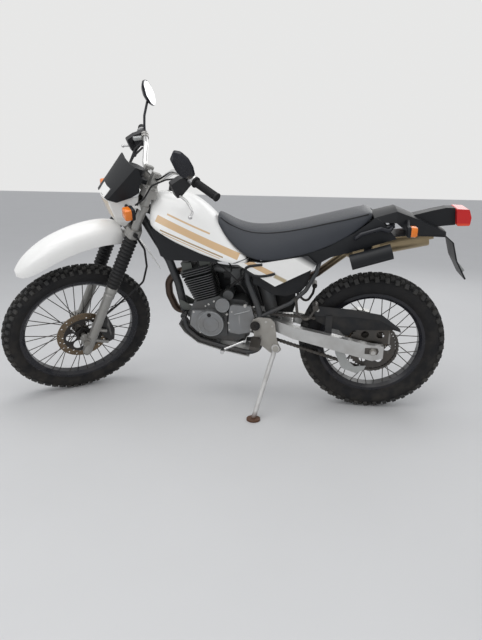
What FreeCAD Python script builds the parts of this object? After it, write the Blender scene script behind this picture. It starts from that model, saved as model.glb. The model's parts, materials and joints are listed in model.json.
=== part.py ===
import FreeCAD, Part
import math
import os

os.makedirs("parts", exist_ok=True)
V = FreeCAD.Vector
Placement = FreeCAD.Placement
Rotation = FreeCAD.Rotation

# Dual sport motorcycle. Millimetres. The upright bike has +X forward, +Y to its left and +Z up,
# with the origin on the ground below the rear axle. It is then steered to its left stop and leaned
# on its side stand, and the origin moves to the middle of its footprint.

# Chassis geometry
WHEELBASE = 1365.0
RAKE_DEG = 25.5
TRAIL = 94.0
FORK_AHEAD = 38.0
AXLE_AHEAD = 63.7
FORK_HALF = 95.0
LEAN_DEG = 7.45
STEER_STOP_DEG = 38.9
SEAT_GAP = 0.3
RUN_GAP = 0.05
SHELL = 3.0

# Front wheel
FRONT_TYRE_R = 345.0
FRONT_TYRE_HALF = 40.0
FRONT_BEAD_R = 267.0
FRONT_RIM_HALF = 26.0
# Rear wheel
REAR_TYRE_R = 322.0
REAR_TYRE_HALF = 53.0
REAR_BEAD_R = 228.6
REAR_RIM_HALF = 31.0
# Both wheels
LUG_DEPTH = 7.0
LUG_BAND = 20.0
FRONT_LUGS = 52
REAR_LUGS = 44
FLANGE_H = 9.0
FLANGE_T = 3.0
RIM_DEPTH = 17.0
SPOKES = 36
SPOKE_R = 1.9
SPOKE_GAP = 0.8

# Front hub, axle and brake
FRONT_AXLE_R = 8.0
FRONT_HUB_HALF = 38.0
FRONT_FLANGE_R = 34.0
FRONT_BARREL_R = 22.0
FRONT_DISC_Y = 50.0
FRONT_DISC_R = 120.0
FRONT_DISC_T = 3.5
# Rear hub, axle and brake
REAR_AXLE_R = 8.5
REAR_HUB_HALF = 50.0
REAR_FLANGE_R = 62.0
REAR_BARREL_R = 34.0
REAR_DISC_Y = -66.0
REAR_DISC_R = 105.0
REAR_DISC_T = 4.0

DISC_HOLES = 18
DISC_HOLE_R = 4.0

# Final drive
CHAIN_PITCH = 15.875
CHAIN_OUTSIDE = 7.0
CHAIN_INSIDE = 4.2
REAR_TEETH = 44
FRONT_TEETH = 15
CHAIN_Y = 63.0
CHAIN_W = 14.0
SPROCKET_T = 6.0
DRIVE_X = 592.0
DRIVE_Z = 432.0
SHAFT_R = 11.7

# Fork
TUBE_R = 18.0
SLIDER_R = 21.5
SLIDER_LOW = 290.0
SLIDER_TOP = 648.0
TUBE_TOP = 1130.0
GAITER_R = 31.0
GAITER_ROOT_R = 25.5
GAITER_LOW = 652.0
GAITER_TOP = 893.0
GAITER_RIBS = 14
CLAMP_LOW = 900.0
CLAMP_LOW_TOP = 938.0
CLAMP_UP = 1089.0
CLAMP_UP_TOP = 1124.0
STEM_R = 14.0
HEAD_R = 27.0
HEAD_GAP = 1.0

# Frame tubes
BACKBONE_R = 21.0
DOWN_R = 18.0
SEAT_TUBE_R = 13.0
SEAT_TUBE_Y = 88.0
CRADLE_R = 11.0
RAIL_R = 11.0
STAY_R = 9.0
PIVOT_X = 515.0
PIVOT_Z = 421.0
PIVOT_R = 8.0
PLATE_T = 5.0

# Handlebar, hose and leads
HOSE_R = 4.5
BAR_R = 11.0
GRIP_R = 15.5


# Turning the plain numbers into shapes

def flat(points, y=0.0):
    """Points (x, z) as vectors in the plane at y."""
    return [V(x, y, z) for x, z in points]


def rounded_edges(points, radius, closed=True):
    """Lines through the points with each corner rounded by an arc."""
    count = len(points)
    ends = []
    edges = []
    for i, p in enumerate(points):
        if not closed and i in (0, count - 1):
            ends.append((p, None, p))
            continue
        before = points[i - 1] - p
        after = points[(i + 1) % count] - p
        half = before.getAngle(after) / 2
        reach = radius / math.tan(half) if half < math.pi / 2 - 0.01 else 0.0
        reach = min(reach, 0.45 * before.Length, 0.45 * after.Length)
        if reach < 0.05:
            ends.append((p, None, p))
            continue
        r = reach * math.tan(half)
        a = p + before.normalize() * reach
        b = p + after.normalize() * reach
        middle = (before + after).normalize()
        top = p + middle * (r / math.sin(half) - r)
        ends.append((a, top, b))
    for i, (a, top, b) in enumerate(ends):
        if top is not None:
            edges.append(Part.Arc(a, top, b).toShape())
        if closed or i < count - 1:
            following = ends[(i + 1) % count][0]
            if b.distanceToPoint(following) > 0.01:
                edges.append(Part.LineSegment(b, following).toShape())
    return edges


def outline_face(points, radius=0.0):
    """A flat face with rounded corners."""
    return Part.Face(Part.Wire(rounded_edges(points, radius)))


def slab(points, y0, y1, radius=0.0):
    """A side outline of (x, z) points, extruded from y0 to y1."""
    return outline_face(flat(points, y0), radius).extrude(V(0, y1 - y0, 0))


def prism(points, z0, z1, radius=0.0):
    """A plan outline of (x, y) points, extruded from z0 to z1."""
    return outline_face([V(x, y, z0) for x, y in points], radius).extrude(V(0, 0, z1 - z0))


def strip(points, thickness, y0, y1):
    """A bent sheet whose underside follows the (x, z) points."""
    above = [(x, z + thickness) for x, z in reversed(points)]
    return slab(list(points) + above, y0, y1)


def rod(a, b, r):
    """A round bar from point a to point b."""
    a = V(*a)
    b = V(*b)
    return Part.makeCylinder(r, a.distanceToPoint(b), a, b - a)


def pipe(points, r, bend):
    """A round tube along straight runs joined by tangent arcs."""
    points = [V(*p) for p in points]
    path = Part.Wire(rounded_edges(points, bend, closed=False))
    ring = Part.Wire(Part.makeCircle(r, points[0], points[1] - points[0]))
    return path.makePipe(Part.Face(ring))


def lathe_y(profile, x, y, z):
    """A closed profile of (radius, y) points turned about an axis along Y."""
    wire = Part.makePolygon([V(r, h, 0) for r, h in profile + profile[:1]])
    solid = Part.Face(wire).revolve(V(0, 0, 0), V(0, 1, 0), 360)
    return solid.translated(V(x, y, z))


def lathe_z(profile, x=0.0, y=0.0, z=0.0):
    """A closed profile of (radius, z) points turned about an axis along Z."""
    wire = Part.makePolygon([V(r, 0, h) for r, h in profile + profile[:1]])
    solid = Part.Face(wire).revolve(V(0, 0, 0), V(0, 0, 1), 360)
    return solid.translated(V(x, y, z))


def mirrored(shape):
    """The same shape on the other side of the bike."""
    return shape.mirror(V(0, 0, 0), V(0, 1, 0))


def both(shape):
    """The shape and its mirror image, as separate solids."""
    return [shape, mirrored(shape)]


def joined(shapes):
    """One solid from shapes that overlap."""
    return shapes[0].multiFuse(shapes[1:]).removeSplitter()


def grouped(shapes):
    """Solids that share a node."""
    return Part.makeCompound([s for shape in shapes for s in shape.Solids])


def loft(wires):
    """A solid through closed sections."""
    return Part.makeLoft(wires, True, True)


def body_section(x, low, high, half_low, half_high, crown):
    """A closed section across the bike at x, with a crowned top."""
    points = [V(x, -half_low, low), V(x, half_low, low), V(x, half_high, high - crown)]
    sides = [Part.LineSegment(points[0], points[1]).toShape(),
             Part.LineSegment(points[1], points[2]).toShape()]
    top = Part.Arc(points[2], V(x, 0, high), V(x, -half_high, high - crown)).toShape()
    last = Part.LineSegment(V(x, -half_high, high - crown), points[0]).toShape()
    return Part.Wire(sides + [top, last])


def arch_section(x, top, edge, half, wall):
    """A section of an arched sheet across the bike at x."""
    a, b = V(x, -half, edge), V(x, half, edge)
    c, d = V(x, half - wall, edge), V(x, wall - half, edge)
    return Part.Wire([Part.Arc(a, V(x, 0, top), b).toShape(),
                      Part.LineSegment(b, c).toShape(),
                      Part.Arc(c, V(x, 0, top - wall), d).toShape(),
                      Part.LineSegment(d, a).toShape()])


def nose_section(z, rear, rear_half, crease, crease_half, front):
    """A level section with flat flanks that meet a bowed front at two creases."""
    a, b = V(rear, -rear_half, z), V(crease, -crease_half, z)
    c, d = V(crease, crease_half, z), V(rear, rear_half, z)
    return Part.Wire([Part.LineSegment(a, b).toShape(), Part.Arc(b, V(front, 0, z), c).toShape(),
                      Part.LineSegment(c, d).toShape(), Part.LineSegment(d, a).toShape()])


# Places that several pieces share

FORK = Placement(V(WHEELBASE + TRAIL, 0, 0), Rotation(V(0, 1, 0), -RAKE_DEG))
FRONT_AXLE_S = (FRONT_TYRE_R - AXLE_AHEAD * math.sin(math.radians(RAKE_DEG))) / math.cos(
    math.radians(RAKE_DEG))


def on_fork(shape):
    """Moves a shape from the fork's own axes, X ahead and Z up the steering axis."""
    moved = shape.copy()
    moved.Placement = FORK.multiply(shape.Placement)
    return moved


FRONT_AXLE = FORK.multVec(V(AXLE_AHEAD, 0, FRONT_AXLE_S))
REAR_AXLE = V(0, 0, REAR_TYRE_R)


# Wheels

def tyre_profile(outer, half, bead, rim_half):
    """Half of the tyre's section, from the bead to the crown: columns radius, y."""
    depth = outer - bead
    inside = rim_half - FLANGE_T - SEAT_GAP
    return [(bead + SEAT_GAP, inside),
            (bead + FLANGE_H + 2 * SEAT_GAP, inside),
            (bead + FLANGE_H + 2 * SEAT_GAP, rim_half),
            (bead + 0.35 * depth, 0.92 * half),
            (bead + 0.52 * depth, half),
            (bead + 0.72 * depth, 0.99 * half),
            (bead + 0.86 * depth, 0.90 * half),
            (bead + 0.95 * depth, 0.68 * half),
            (bead + 0.98 * depth, 0.46 * half),
            (bead + 0.98 * depth - LUG_DEPTH, 0.44 * half),
            (outer - LUG_DEPTH, 0.30 * half),
            (outer, 0.28 * half)]


def carcass_profile(outer, half, bead, rim_half):
    """The tyre below its lugs: the same columns, sunk by more towards the crown."""
    side = tyre_profile(outer, half, bead, rim_half)
    side = side[:8] + side[-1:]
    sunk = side[:4]
    for (r, y), share in zip(side[4:], (0.0, 0.1, 0.7, 0.9, 1.0)):
        sunk.append((r - share * LUG_DEPTH, y - 0.4 - 0.3 * share * LUG_DEPTH))
    return sunk


def tyre(centre, outer, half, bead, rim_half, lugs):
    """A tyre whose lugs stand in rows across a toothed band."""
    turned_sides = []
    for side in (tyre_profile(outer, half, bead, rim_half), carcass_profile(outer, half, bead, rim_half)):
        turned_sides.append(lathe_y(side + [(r, -y) for r, y in reversed(side)], 0, 0, 0))
    full, carcass = turned_sides
    low = outer - LUG_BAND
    points = []
    # columns: share of a lug's pitch, radius
    for i in range(lugs):
        for share, r in ((0.0, outer + 5), (0.58, outer + 5), (0.64, low + 4), (0.94, low + 4)):
            angle = math.tau * (i + share) / lugs
            points.append((r * math.cos(angle), r * math.sin(angle)))
    band = slab(points, -half - 5, half + 5).cut(rod((0, -half - 6, 0), (0, half + 6, 0), low))
    return joined([carcass, full.common(band)]).translated(centre)


def rim(centre, bead, rim_half):
    inner = bead - RIM_DEPTH
    side = [(bead, rim_half - FLANGE_T),
            (bead + FLANGE_H, rim_half - FLANGE_T),
            (bead + FLANGE_H, rim_half),
            (bead - 4.0, rim_half),
            (inner, rim_half - 12.0)]
    profile = side + [(r, -y) for r, y in reversed(side)]
    return lathe_y(profile, *centre)


def spoked_hub(centre, axle_r, half, flange_r, barrel_r, bead):
    """Hub with crossed spokes that end just inside the rim."""
    bore = axle_r + 0.5
    side = [(bore, half), (barrel_r - 4.0, half), (barrel_r - 4.0, half - 6.0),
            (flange_r, half - 6.0), (flange_r, half - 11.0), (barrel_r, half - 15.0)]
    hub = lathe_y(side + [(r, -y) for r, y in reversed(side)], 0, 0, 0)
    reach = bead - RIM_DEPTH - SPOKE_GAP
    pieces = [hub]
    for i in range(SPOKES):
        side_y = half - 8.5 if i % 2 else 8.5 - half
        lean = 52.0 if i // 2 % 2 else -52.0
        angle = math.radians(360.0 / SPOKES * i)
        foot = angle + math.radians(lean)
        start = V((flange_r - 4.0) * math.cos(foot), side_y, (flange_r - 4.0) * math.sin(foot))
        end = V(reach * math.cos(angle), 0.25 * side_y, reach * math.sin(angle))
        pieces.append(Part.makeCylinder(SPOKE_R, start.distanceToPoint(end), start, end - start))
    return joined(pieces).translated(centre)


def disc(centre, y, outer, inner, thick, hub_r, flange_y):
    """Brake disc with a carrier ring that reaches back to the hub's flange."""
    side = math.copysign(thick / 2, y)
    ring = hub_r + 9.0
    profile = [(hub_r, flange_y - y), (ring, flange_y - y), (ring, -side), (outer, -side), (outer, side),
               (hub_r, side)]
    solid = lathe_y(profile, 0, 0, 0)
    holes = []
    for row in (0.3, 0.7):
        for i in range(DISC_HOLES):
            angle = math.tau * (i + row) / DISC_HOLES
            r = inner + row * (outer - inner)
            holes.append(Part.makeCylinder(DISC_HOLE_R, 20, V(r * math.cos(angle), -10, r * math.sin(angle)),
                                           V(0, 1, 0)))
    solid = solid.cut(holes)
    windows = 6
    for i in range(windows):
        angle = math.radians(360.0 / windows * i)
        middle = (ring + inner) / 2
        r = (inner - ring) / 2 - 4.0
        solid = solid.cut(Part.makeCylinder(r, 20, V(middle * math.cos(angle), -10, middle * math.sin(angle)),
                                            V(0, 1, 0)))
    return solid.translated(V(centre.x, y, centre.z))


def front_tyre():
    return tyre(FRONT_AXLE, FRONT_TYRE_R, FRONT_TYRE_HALF, FRONT_BEAD_R, FRONT_RIM_HALF, FRONT_LUGS)


def front_rim():
    return rim(FRONT_AXLE, FRONT_BEAD_R, FRONT_RIM_HALF)


def front_hub():
    return spoked_hub(FRONT_AXLE, FRONT_AXLE_R, FRONT_HUB_HALF, FRONT_FLANGE_R, FRONT_BARREL_R,
                      FRONT_BEAD_R)


def front_disc():
    return disc(FRONT_AXLE, FRONT_DISC_Y, FRONT_DISC_R, 84.0, FRONT_DISC_T, 18.5,
                FRONT_HUB_HALF - 6.0 + SEAT_GAP)


def rear_tyre():
    return tyre(REAR_AXLE, REAR_TYRE_R, REAR_TYRE_HALF, REAR_BEAD_R, REAR_RIM_HALF, REAR_LUGS)


def rear_rim():
    return rim(REAR_AXLE, REAR_BEAD_R, REAR_RIM_HALF)


def rear_hub():
    return spoked_hub(REAR_AXLE, REAR_AXLE_R, REAR_HUB_HALF, REAR_FLANGE_R, REAR_BARREL_R, REAR_BEAD_R)


def rear_disc():
    return disc(REAR_AXLE, REAR_DISC_Y, REAR_DISC_R, 78.0, REAR_DISC_T, 31.0,
                6.0 - SEAT_GAP - REAR_HUB_HALF)


def pitch_radius(teeth):
    return CHAIN_PITCH / (2 * math.sin(math.pi / teeth))


def sprocket(teeth, bore, windows):
    """Toothed wheel whose tips stay below the chain's rollers."""
    tip = pitch_radius(teeth) - CHAIN_INSIDE - 0.6
    root = tip - 5.0
    points = []
    for i in range(teeth):
        for share, r in ((0.0, root), (0.25, root), (0.5, tip), (0.75, tip)):
            a = 2 * math.pi * (i + share) / teeth
            points.append((r * math.cos(a), r * math.sin(a)))
    solid = slab(points, -SPROCKET_T / 2, SPROCKET_T / 2)
    solid = solid.cut(rod((0, -SPROCKET_T, 0), (0, SPROCKET_T, 0), bore))
    for i in range(windows):
        a = 2 * math.pi * i / windows
        middle = 0.66 * root
        solid = solid.cut(rod((middle * math.cos(a), -SPROCKET_T, middle * math.sin(a)),
                              (middle * math.cos(a), SPROCKET_T, middle * math.sin(a)), 0.17 * root))
    return solid


def rear_sprocket():
    inside = REAR_HUB_HALF - 6.0 + SEAT_GAP - CHAIN_Y
    carrier = lathe_y([(31, inside), (44, inside), (44, 0), (31, 0)], 0, 0, 0)
    return joined([sprocket(REAR_TEETH, 31.0, 6), carrier]).translated(V(REAR_AXLE.x, CHAIN_Y, REAR_AXLE.z))


def front_sprocket():
    return sprocket(FRONT_TEETH, SHAFT_R + SEAT_GAP, 0).translated(V(DRIVE_X, CHAIN_Y, DRIVE_Z))


def belt(offset, y0, y1):
    """A closed belt round both sprockets, out to an offset from the pitch line."""
    r1 = pitch_radius(REAR_TEETH) + offset
    r2 = pitch_radius(FRONT_TEETH) + offset
    dx = DRIVE_X - REAR_AXLE.x
    dz = DRIVE_Z - REAR_AXLE.z
    span = math.hypot(dx, dz)
    along = math.atan2(dz, dx)
    open_angle = math.acos((r1 - r2) / span)
    corners = []
    for cx, cz, r, a in ((REAR_AXLE.x, REAR_AXLE.z, r1, along + open_angle),
                         (REAR_AXLE.x, REAR_AXLE.z, r1, along + math.pi),
                         (REAR_AXLE.x, REAR_AXLE.z, r1, along - open_angle),
                         (DRIVE_X, DRIVE_Z, r2, along - open_angle),
                         (DRIVE_X, DRIVE_Z, r2, along),
                         (DRIVE_X, DRIVE_Z, r2, along + open_angle)):
        corners.append(V(cx + r * math.cos(a), y0, cz + r * math.sin(a)))
    wire = Part.Wire([Part.Arc(corners[0], corners[1], corners[2]).toShape(),
                      Part.LineSegment(corners[2], corners[3]).toShape(),
                      Part.Arc(corners[3], corners[4], corners[5]).toShape(),
                      Part.LineSegment(corners[5], corners[0]).toShape()])
    return Part.Face(wire).extrude(V(0, y1 - y0, 0))


def chain():
    low = CHAIN_Y - CHAIN_W / 2
    high = CHAIN_Y + CHAIN_W / 2
    return belt(CHAIN_OUTSIDE, low, high).cut(belt(-CHAIN_INSIDE, low - 1, high + 1))


# Frame

SHOCK_TOP = (498.0, 0.0, 655.0)
EYE_HALF = 18.0


def fork_line(s, ahead=0.0, y=0.0):
    """A point at s up the steering axis, as x, y, z."""
    return tuple(FORK.multVec(V(ahead, y, s)))


def frame():
    head = on_fork(Part.makeCylinder(HEAD_R, CLAMP_UP - CLAMP_LOW_TOP - 2 * HEAD_GAP,
                                     V(0, 0, CLAMP_LOW_TOP + HEAD_GAP)))
    backbone = pipe([fork_line(1012), (820, 0, 848), (575, 0, 705), (556, 0, 668)], BACKBONE_R, 80)
    down = pipe([fork_line(986), (913, 0, 677), (875, 0, 566), (852, 0, 440)], DOWN_R, 120)
    pieces = [head, backbone, down,
              rod((556, -78, 668), (556, 78, 668), 12.0),
              rod((846, -60, 430), (846, 60, 430), 14.0)]
    for side in (1, -1):
        y = side * SEAT_TUBE_Y
        pieces.append(pipe([(556, side * 74, 680), (552, side * 76, 615), (498, y, 479), (492, y, 300),
                            (544, side * 70, 268), (674, side * 66, 295), (775, side * 66, 325),
                            (832, side * 62, 372), (846, side * 58, 430)], CRADLE_R, 60))
        pieces.append(pipe([(556, side * 74, 680), (552, side * 76, 615), (498, y, 479), (492, y, 340)],
                           SEAT_TUBE_R, 60))
        pieces.append(pipe([(562, side * 60, 672), (360, side * 100, 735), (112, side * 92, 820),
                            (-40, side * 70, 867)], RAIL_R, 80))
        pieces.append(pipe([(496, y, 455), (364, side * 104, 530), (302, side * 106, 589),
                            (262, side * 106, 669), (236, side * 97, 778)], STAY_R, 70))
        ear = slab([(562, 690), (550, 650), (490, 640), (484, 664), (520, 686)], side * (EYE_HALF + SEAT_GAP),
                   side * (EYE_HALF + 6), 8)
        pieces.append(ear)
    pieces.append(rod((-34, -72, 870), (-34, 72, 870), 9.0))
    pieces.append(rod((300, -98, 755), (300, 98, 755), 9.0))
    solid = joined(pieces)
    solid = solid.cut(on_fork(Part.makeCylinder(STEM_R + RUN_GAP, 400, V(0, 0, 850))))
    return solid.cut(rod((PIVOT_X, -130, PIVOT_Z), (PIVOT_X, 130, PIVOT_Z), PIVOT_R + SEAT_GAP))


def plate_inner():
    return SEAT_TUBE_Y + SEAT_TUBE_R + SEAT_GAP


STAND_PIVOT = V(425.0, 112.0, 318.0)
STAND_AXIS = V(-0.1, 1.0, 0.257)
STAND_PIN_R = 8.0
STAND_EAR = 26.0
LEG_R = 10.5
STAND_FOOT_X = 507.0
STAND_FOOT_Y = 262.0


def pivot_brackets():
    inner = plate_inner()
    left = slab([(500, 458), (448, 454), (430, 435), (418, 350), (398, 306), (412, 292), (446, 290),
                 (480, 318), (518, 342), (522, 388), (536, 421), (526, 446)], inner, inner + PLATE_T, 8)
    right = slab([(500, 458), (448, 454), (433, 435), (474, 322), (486, 312), (556, 312), (566, 340),
                  (524, 372), (536, 421), (526, 446)], -inner - PLATE_T, -inner, 8)
    hole = rod((PIVOT_X, -130, PIVOT_Z), (PIVOT_X, 130, PIVOT_Z), PIVOT_R + SEAT_GAP)
    axis = V(STAND_AXIS).normalize()
    base = STAND_PIVOT - axis * 9.0
    boss = Part.makeCylinder(15.0, 9.0 - SEAT_GAP, base, axis)
    pin = Part.makeCylinder(STAND_PIN_R, 9.0 + STAND_EAR + 4.0, base, axis)
    cap = Part.makeCylinder(13.0, 4.0, STAND_PIVOT + axis * (STAND_EAR + SEAT_GAP), axis)
    left = joined([left.cut(hole), boss, pin, cap])
    bolt = joined([rod((PIVOT_X, -inner - PLATE_T - 8, PIVOT_Z), (PIVOT_X, inner + PLATE_T + 8, PIVOT_Z),
                       PIVOT_R),
                   rod((PIVOT_X, inner + PLATE_T + SEAT_GAP, PIVOT_Z),
                       (PIVOT_X, inner + PLATE_T + 9, PIVOT_Z), 14.0)])
    return grouped([left, right.cut(hole), bolt])


# Engine

PORT_Y = -26.0
PORT_REACH = 80.0
CYLINDER_TILT = 17.0
CYLINDER_BASE = V(738.0, 0.0, 517.0)


def on_cylinder(shape):
    """Moves a shape from the cylinder's own axes, Z up the bore."""
    moved = shape.copy()
    moved.Placement = Placement(CYLINDER_BASE, Rotation(V(0, 1, 0), CYLINDER_TILT)).multiply(
        shape.Placement)
    return moved


def bore_point(along, up):
    """A point (x, z) given in the cylinder's own axes."""
    tilt = math.radians(CYLINDER_TILT)
    return (CYLINDER_BASE.x + along * math.cos(tilt) + up * math.sin(tilt),
            CYLINDER_BASE.z - along * math.sin(tilt) + up * math.cos(tilt))


def crankcase():
    lower = slab([(812, 400), (790, 338), (722, 316), (610, 312), (545, 345), (540, 430)], -48, 48, 12)
    seat_z = 2.0 - SEAT_GAP
    main = slab([(810, 470), (818, 408), (782, 358), (646, 346), (646, 520), bore_point(-60, seat_z),
                 bore_point(60, seat_z)], -66, 66, 3)
    rear = slab([(650, 350), (600, 348), (550, 366), (548, 470), (568, 515), (650, 520)], -66, 50, 12)
    starter = rod((640, -34, 539), (640, 62, 539), 23.0)
    front_lug = slab([(805, 415), (832 - SEAT_GAP, 418), (832 - SEAT_GAP, 442), (805, 450)], -30, 30)
    low_lug = rod((690, -54.6, 308), (690, 54.6, 308), 12.0)
    shaft = rod((DRIVE_X, 40, DRIVE_Z), (DRIVE_X, CHAIN_Y + 9, DRIVE_Z), SHAFT_R)
    return joined([lower, main, rear, starter, front_lug, low_lug, shaft])


def block(x0, x1, half, z0, z1, corner):
    """A rounded block about the bore."""
    return prism([(x0, -half), (x1, -half), (x1, half), (x0, half)], z0, z1, corner)


def cylinder():
    pieces = [block(-48, 48, 48, 2.0, 122, 20)]
    fins = 10
    for i in range(fins):
        z = 10 + i * 10.8
        grow = 14 * i / (fins - 1)
        pieces.append(block(-60 - 0.5 * grow, 58 + grow, 68 + 0.7 * grow, z, z + 3, 24))
    pieces.append(block(-64, 66, 62, 121, 152, 18))
    for i in range(3):
        pieces.append(block(-68, 74, 80, 124 + i * 10.0, 127 + i * 10.0, 24))
    port_x, port_z = 60.0, 135.0
    pieces.append(rod((port_x, PORT_Y, port_z), (PORT_REACH, PORT_Y, port_z), 21.0))
    pieces.append(block(15, 63, 55, 150, 184, 12))
    pieces.append(block(-61, -13, 55, 150, 184, 12))
    return on_cylinder(joined(pieces))


def engine_covers():
    case = 66 + SEAT_GAP
    alternator = joined([rod((720, case, 415), (720, case + 30, 415), 60.0),
                         slab([(800, 470), (812, 400), (770, 360), (700, 470)], case, case + 16, 14)])
    starter_gear = rod((664, case, 497), (664, case + 20, 497), 31.0).cut(
        rod((720, case - 1, 415), (720, case + 40, 415), 62.0))
    guard_y = CHAIN_Y + CHAIN_W / 2 + 4
    guard = slab([(640, 375), (590, 366), (532, 380), (520, 440), (535, 500), (628, 506), (632, 470)],
                 guard_y, guard_y + 16, 16)
    guard = guard.cut(rod((720, case - 1, 415), (720, case + 40, 415), 62.0))
    guard = guard.cut(rod((664, case - 1, 497), (664, case + 40, 497), 33.0))
    post = rod((560, 50 + SEAT_GAP, 500), (560, guard_y, 500), 6.0)
    clutch = joined([rod((660, -case, 405), (660, -case - 36, 405), 74.0),
                     slab([(800, 470), (812, 400), (770, 356), (690, 350), (700, 480)], -case - 22,
                          -case, 14)])
    return grouped([alternator, starter_gear, joined([guard, post]), clutch])


BARREL_BACK = V(530.3, 0.0, 622.4)
BARREL_FRONT = V(694.0, 0.0, 646.0)
BARREL_R = 20.0


def carburettor():
    throat = on_cylinder(rod((-86, 0, 112), (-68 - SEAT_GAP, 0, 112), BARREL_R))
    barrel = rod(tuple(BARREL_BACK), tuple(BARREL_FRONT), BARREL_R)
    bowl = prism([(585, -26), (635, -26), (635, 26), (585, 26)], 578, 650, 8)
    return joined([throat, barrel, bowl])


def airbox():
    outline = [(510, 642), (527, 634), (527, 606), (500, 596), (442, 560), (385, 556), (324, 575), (293, 617), (282, 680),
               (300, 694), (420, 690), (484, 667)]
    box = slab(outline, -90, 90, 10)
    shock_room = slab([(404, 540), (500, 540), (522, 720), (440, 720)], -36, 36)
    way = V(BARREL_FRONT - BARREL_BACK).normalize()
    mouth = rod(tuple(BARREL_BACK - way * 14), tuple(BARREL_BACK - way * SEAT_GAP), BARREL_R + 3)
    return joined([box.cut(shock_room), mouth])


MUFFLER_FRONT = V(128, -140, 697)
MUFFLER_BACK = V(-222, -140, 779)
OUTLET_OUT = 25.0
OUTLET_DEPTH = 39.0
OUTLET_R = 15.0


def exhaust():
    way = V(MUFFLER_BACK - MUFFLER_FRONT).normalize()
    port_x, port_z = bore_point(PORT_REACH + SEAT_GAP, 135.0)
    ahead_x, ahead_z = bore_point(PORT_REACH + 14, 135.0)
    header = pipe([(port_x, PORT_Y, port_z), (ahead_x, PORT_Y, ahead_z), (893, -46, 607), (934, -46, 560), (932, -46, 500),
                   (905, -60, 420), (835, -106, 386), (740, -130, 374), (600, -130, 380), (480, -136, 430),
                   (380, -146, 520), (250, -146, 590), (190, -144, 640), tuple(MUFFLER_FRONT + way * 10)], 17.0, 55)
    length = MUFFLER_FRONT.distanceToPoint(MUFFLER_BACK)
    can = Part.makeCylinder(42.0, length - 30, MUFFLER_FRONT + way * 30, way)
    cone = Part.makeCone(20.0, 42.0, 30, MUFFLER_FRONT, way)
    tail = Part.makeCylinder(18.0, OUTLET_OUT, MUFFLER_BACK, way)
    bore = Part.makeCylinder(OUTLET_R, OUTLET_DEPTH + 10, MUFFLER_BACK + way * (OUTLET_OUT - OUTLET_DEPTH), way)
    return joined([header, cone, can, tail, hanger(-1, 0, 89.4, 727)]).cut(bore)


def skid_plate():
    sheet = strip([(864, 398), (841, 360), (780, 310), (677, 279.4), (544, 251.6)], 4.0, -82, 82)
    return sheet.cut(prism([(820, -100), (900, -100), (900, -48), (820, -48)], 360, 420))


# Bodywork

def fuel_tank():
    # columns: x, underside, top, half width low, half width high, crown
    rows = [(560, 706, 738, 108, 104, 6),
            (625, 712, 790, 122, 96, 14),
            (690, 735, 888, 128, 78, 26),
            (790, 776, 966, 132, 74, 30),
            (893, 826, 983, 130, 72, 24),
            (936, 860, 979, 114, 68, 20)]
    solid = loft([body_section(*row) for row in rows])
    solid = joined([solid, Part.makeCylinder(33.0, 14.0, CAP_BASE - CAP_WAY * 14.0, CAP_WAY)])
    wall = BACKBONE_R + 0.6
    tunnel = slab([(1000, 780), (1000, 946), (900, 905), (820, 880), (690, 802), (575, 738), (540, 700),
                   (560, 650)], -wall, wall)
    return solid.cut(tunnel)


CAP_BASE = V(867.5, 0, 982.3)
CAP_WAY = V(-0.163, 0, 0.987).normalize()


def filler_cap():
    return Part.makeCylinder(30.0, 16.0, CAP_BASE + CAP_WAY * SEAT_GAP, CAP_WAY)


def tank_panels():
    panel = slab([(936, 859.4), (954, 834), (922, 724), (890, 706), (751, 706), (690, 704), (650, 708), (630, 713),
                  (690, 734.4), (790, 775.4), (893, 825.4)], 106, 110)
    return grouped(both(panel))


def side_covers():
    panel = slab([(606, 709.4), (556, 705.4), (540, 712), (485, 708.4), (341, 736.4), (300, 746), (262, 712),
                  (276, 690), (432, 608)], 118, 122)
    return grouped(both(panel))


def seat():
    # columns: x, underside, top, half width low, half width high, crown
    rows = [(660, 846, 897, 40, 36, 8),
            (571, 738, 847, 108, 66, 14),
            (485, 709, 844, 120, 84, 16),
            (341, 737, 862, 126, 104, 18),
            (230, 776, 887, 124, 110, 20),
            (120, 836, 916, 116, 104, 18),
            (44, 900, 930, 92, 84, 10)]
    solid = loft([body_section(*row) for row in rows])
    hollow = slab([(800, 600), (700, 830), (640, 800), (580, 745), (360, 747.2), (112, 832.2), (-40, 879.4),
                   (-60, 600)], -115, 115)
    tank_room = slab([(1000, 600), (1000, 1000), (700, 1000), (668, 905), (657, 842), (609, 783), (540, 727),
                      (500, 600)], -200, 200)
    return solid.cut(hollow).cut(tank_room)


TAIL_UNDER = 829.0


def tail_cover():
    # columns: x, underside, top, half width low, half width high, crown
    rows = [(44 - SEAT_GAP, 882, 906, 92, 84, 8),
            (-46, 879.4, 934, 88, 76, 10),
            (-110, TAIL_UNDER, 908, 74, 64, 8),
            (-252, TAIL_UNDER - 3, 842, 52, 46, 2)]
    cover = loft([body_section(*row) for row in rows])
    arm = slab([(-100, 880), (-116, 901), (-193, 922), (-245, 934), (-279, 934), (-288, 866), (-228, 859),
                (-180, 850)], -28, 28, 2)
    return joined([cover, arm])


def rear_fender():
    top = TAIL_UNDER - SHELL - SEAT_GAP
    sheet = strip([(322, 738), (300, 742.5), (150, 772), (40, 800), (-60, top - 6), (-110, top), (-252, top - 3),
                   (-284, 797)], SHELL, -66, 66)
    flap = slab([(-278, 800), (-284, 800), (-308, 725), (-353, 650), (-348, 646), (-302, 724)], -64, 64)
    return joined([sheet, flap])


def grab_rails():
    loop = pipe([(112, 106.2, 822), (118, 132, 822), (96, 136, 842), (22, 134, 866), (-12, 130, 856),
                 (-26, 104, 864), (-30, 85.6, 864)], 8.0, 14)
    return grouped(both(loop))


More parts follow.
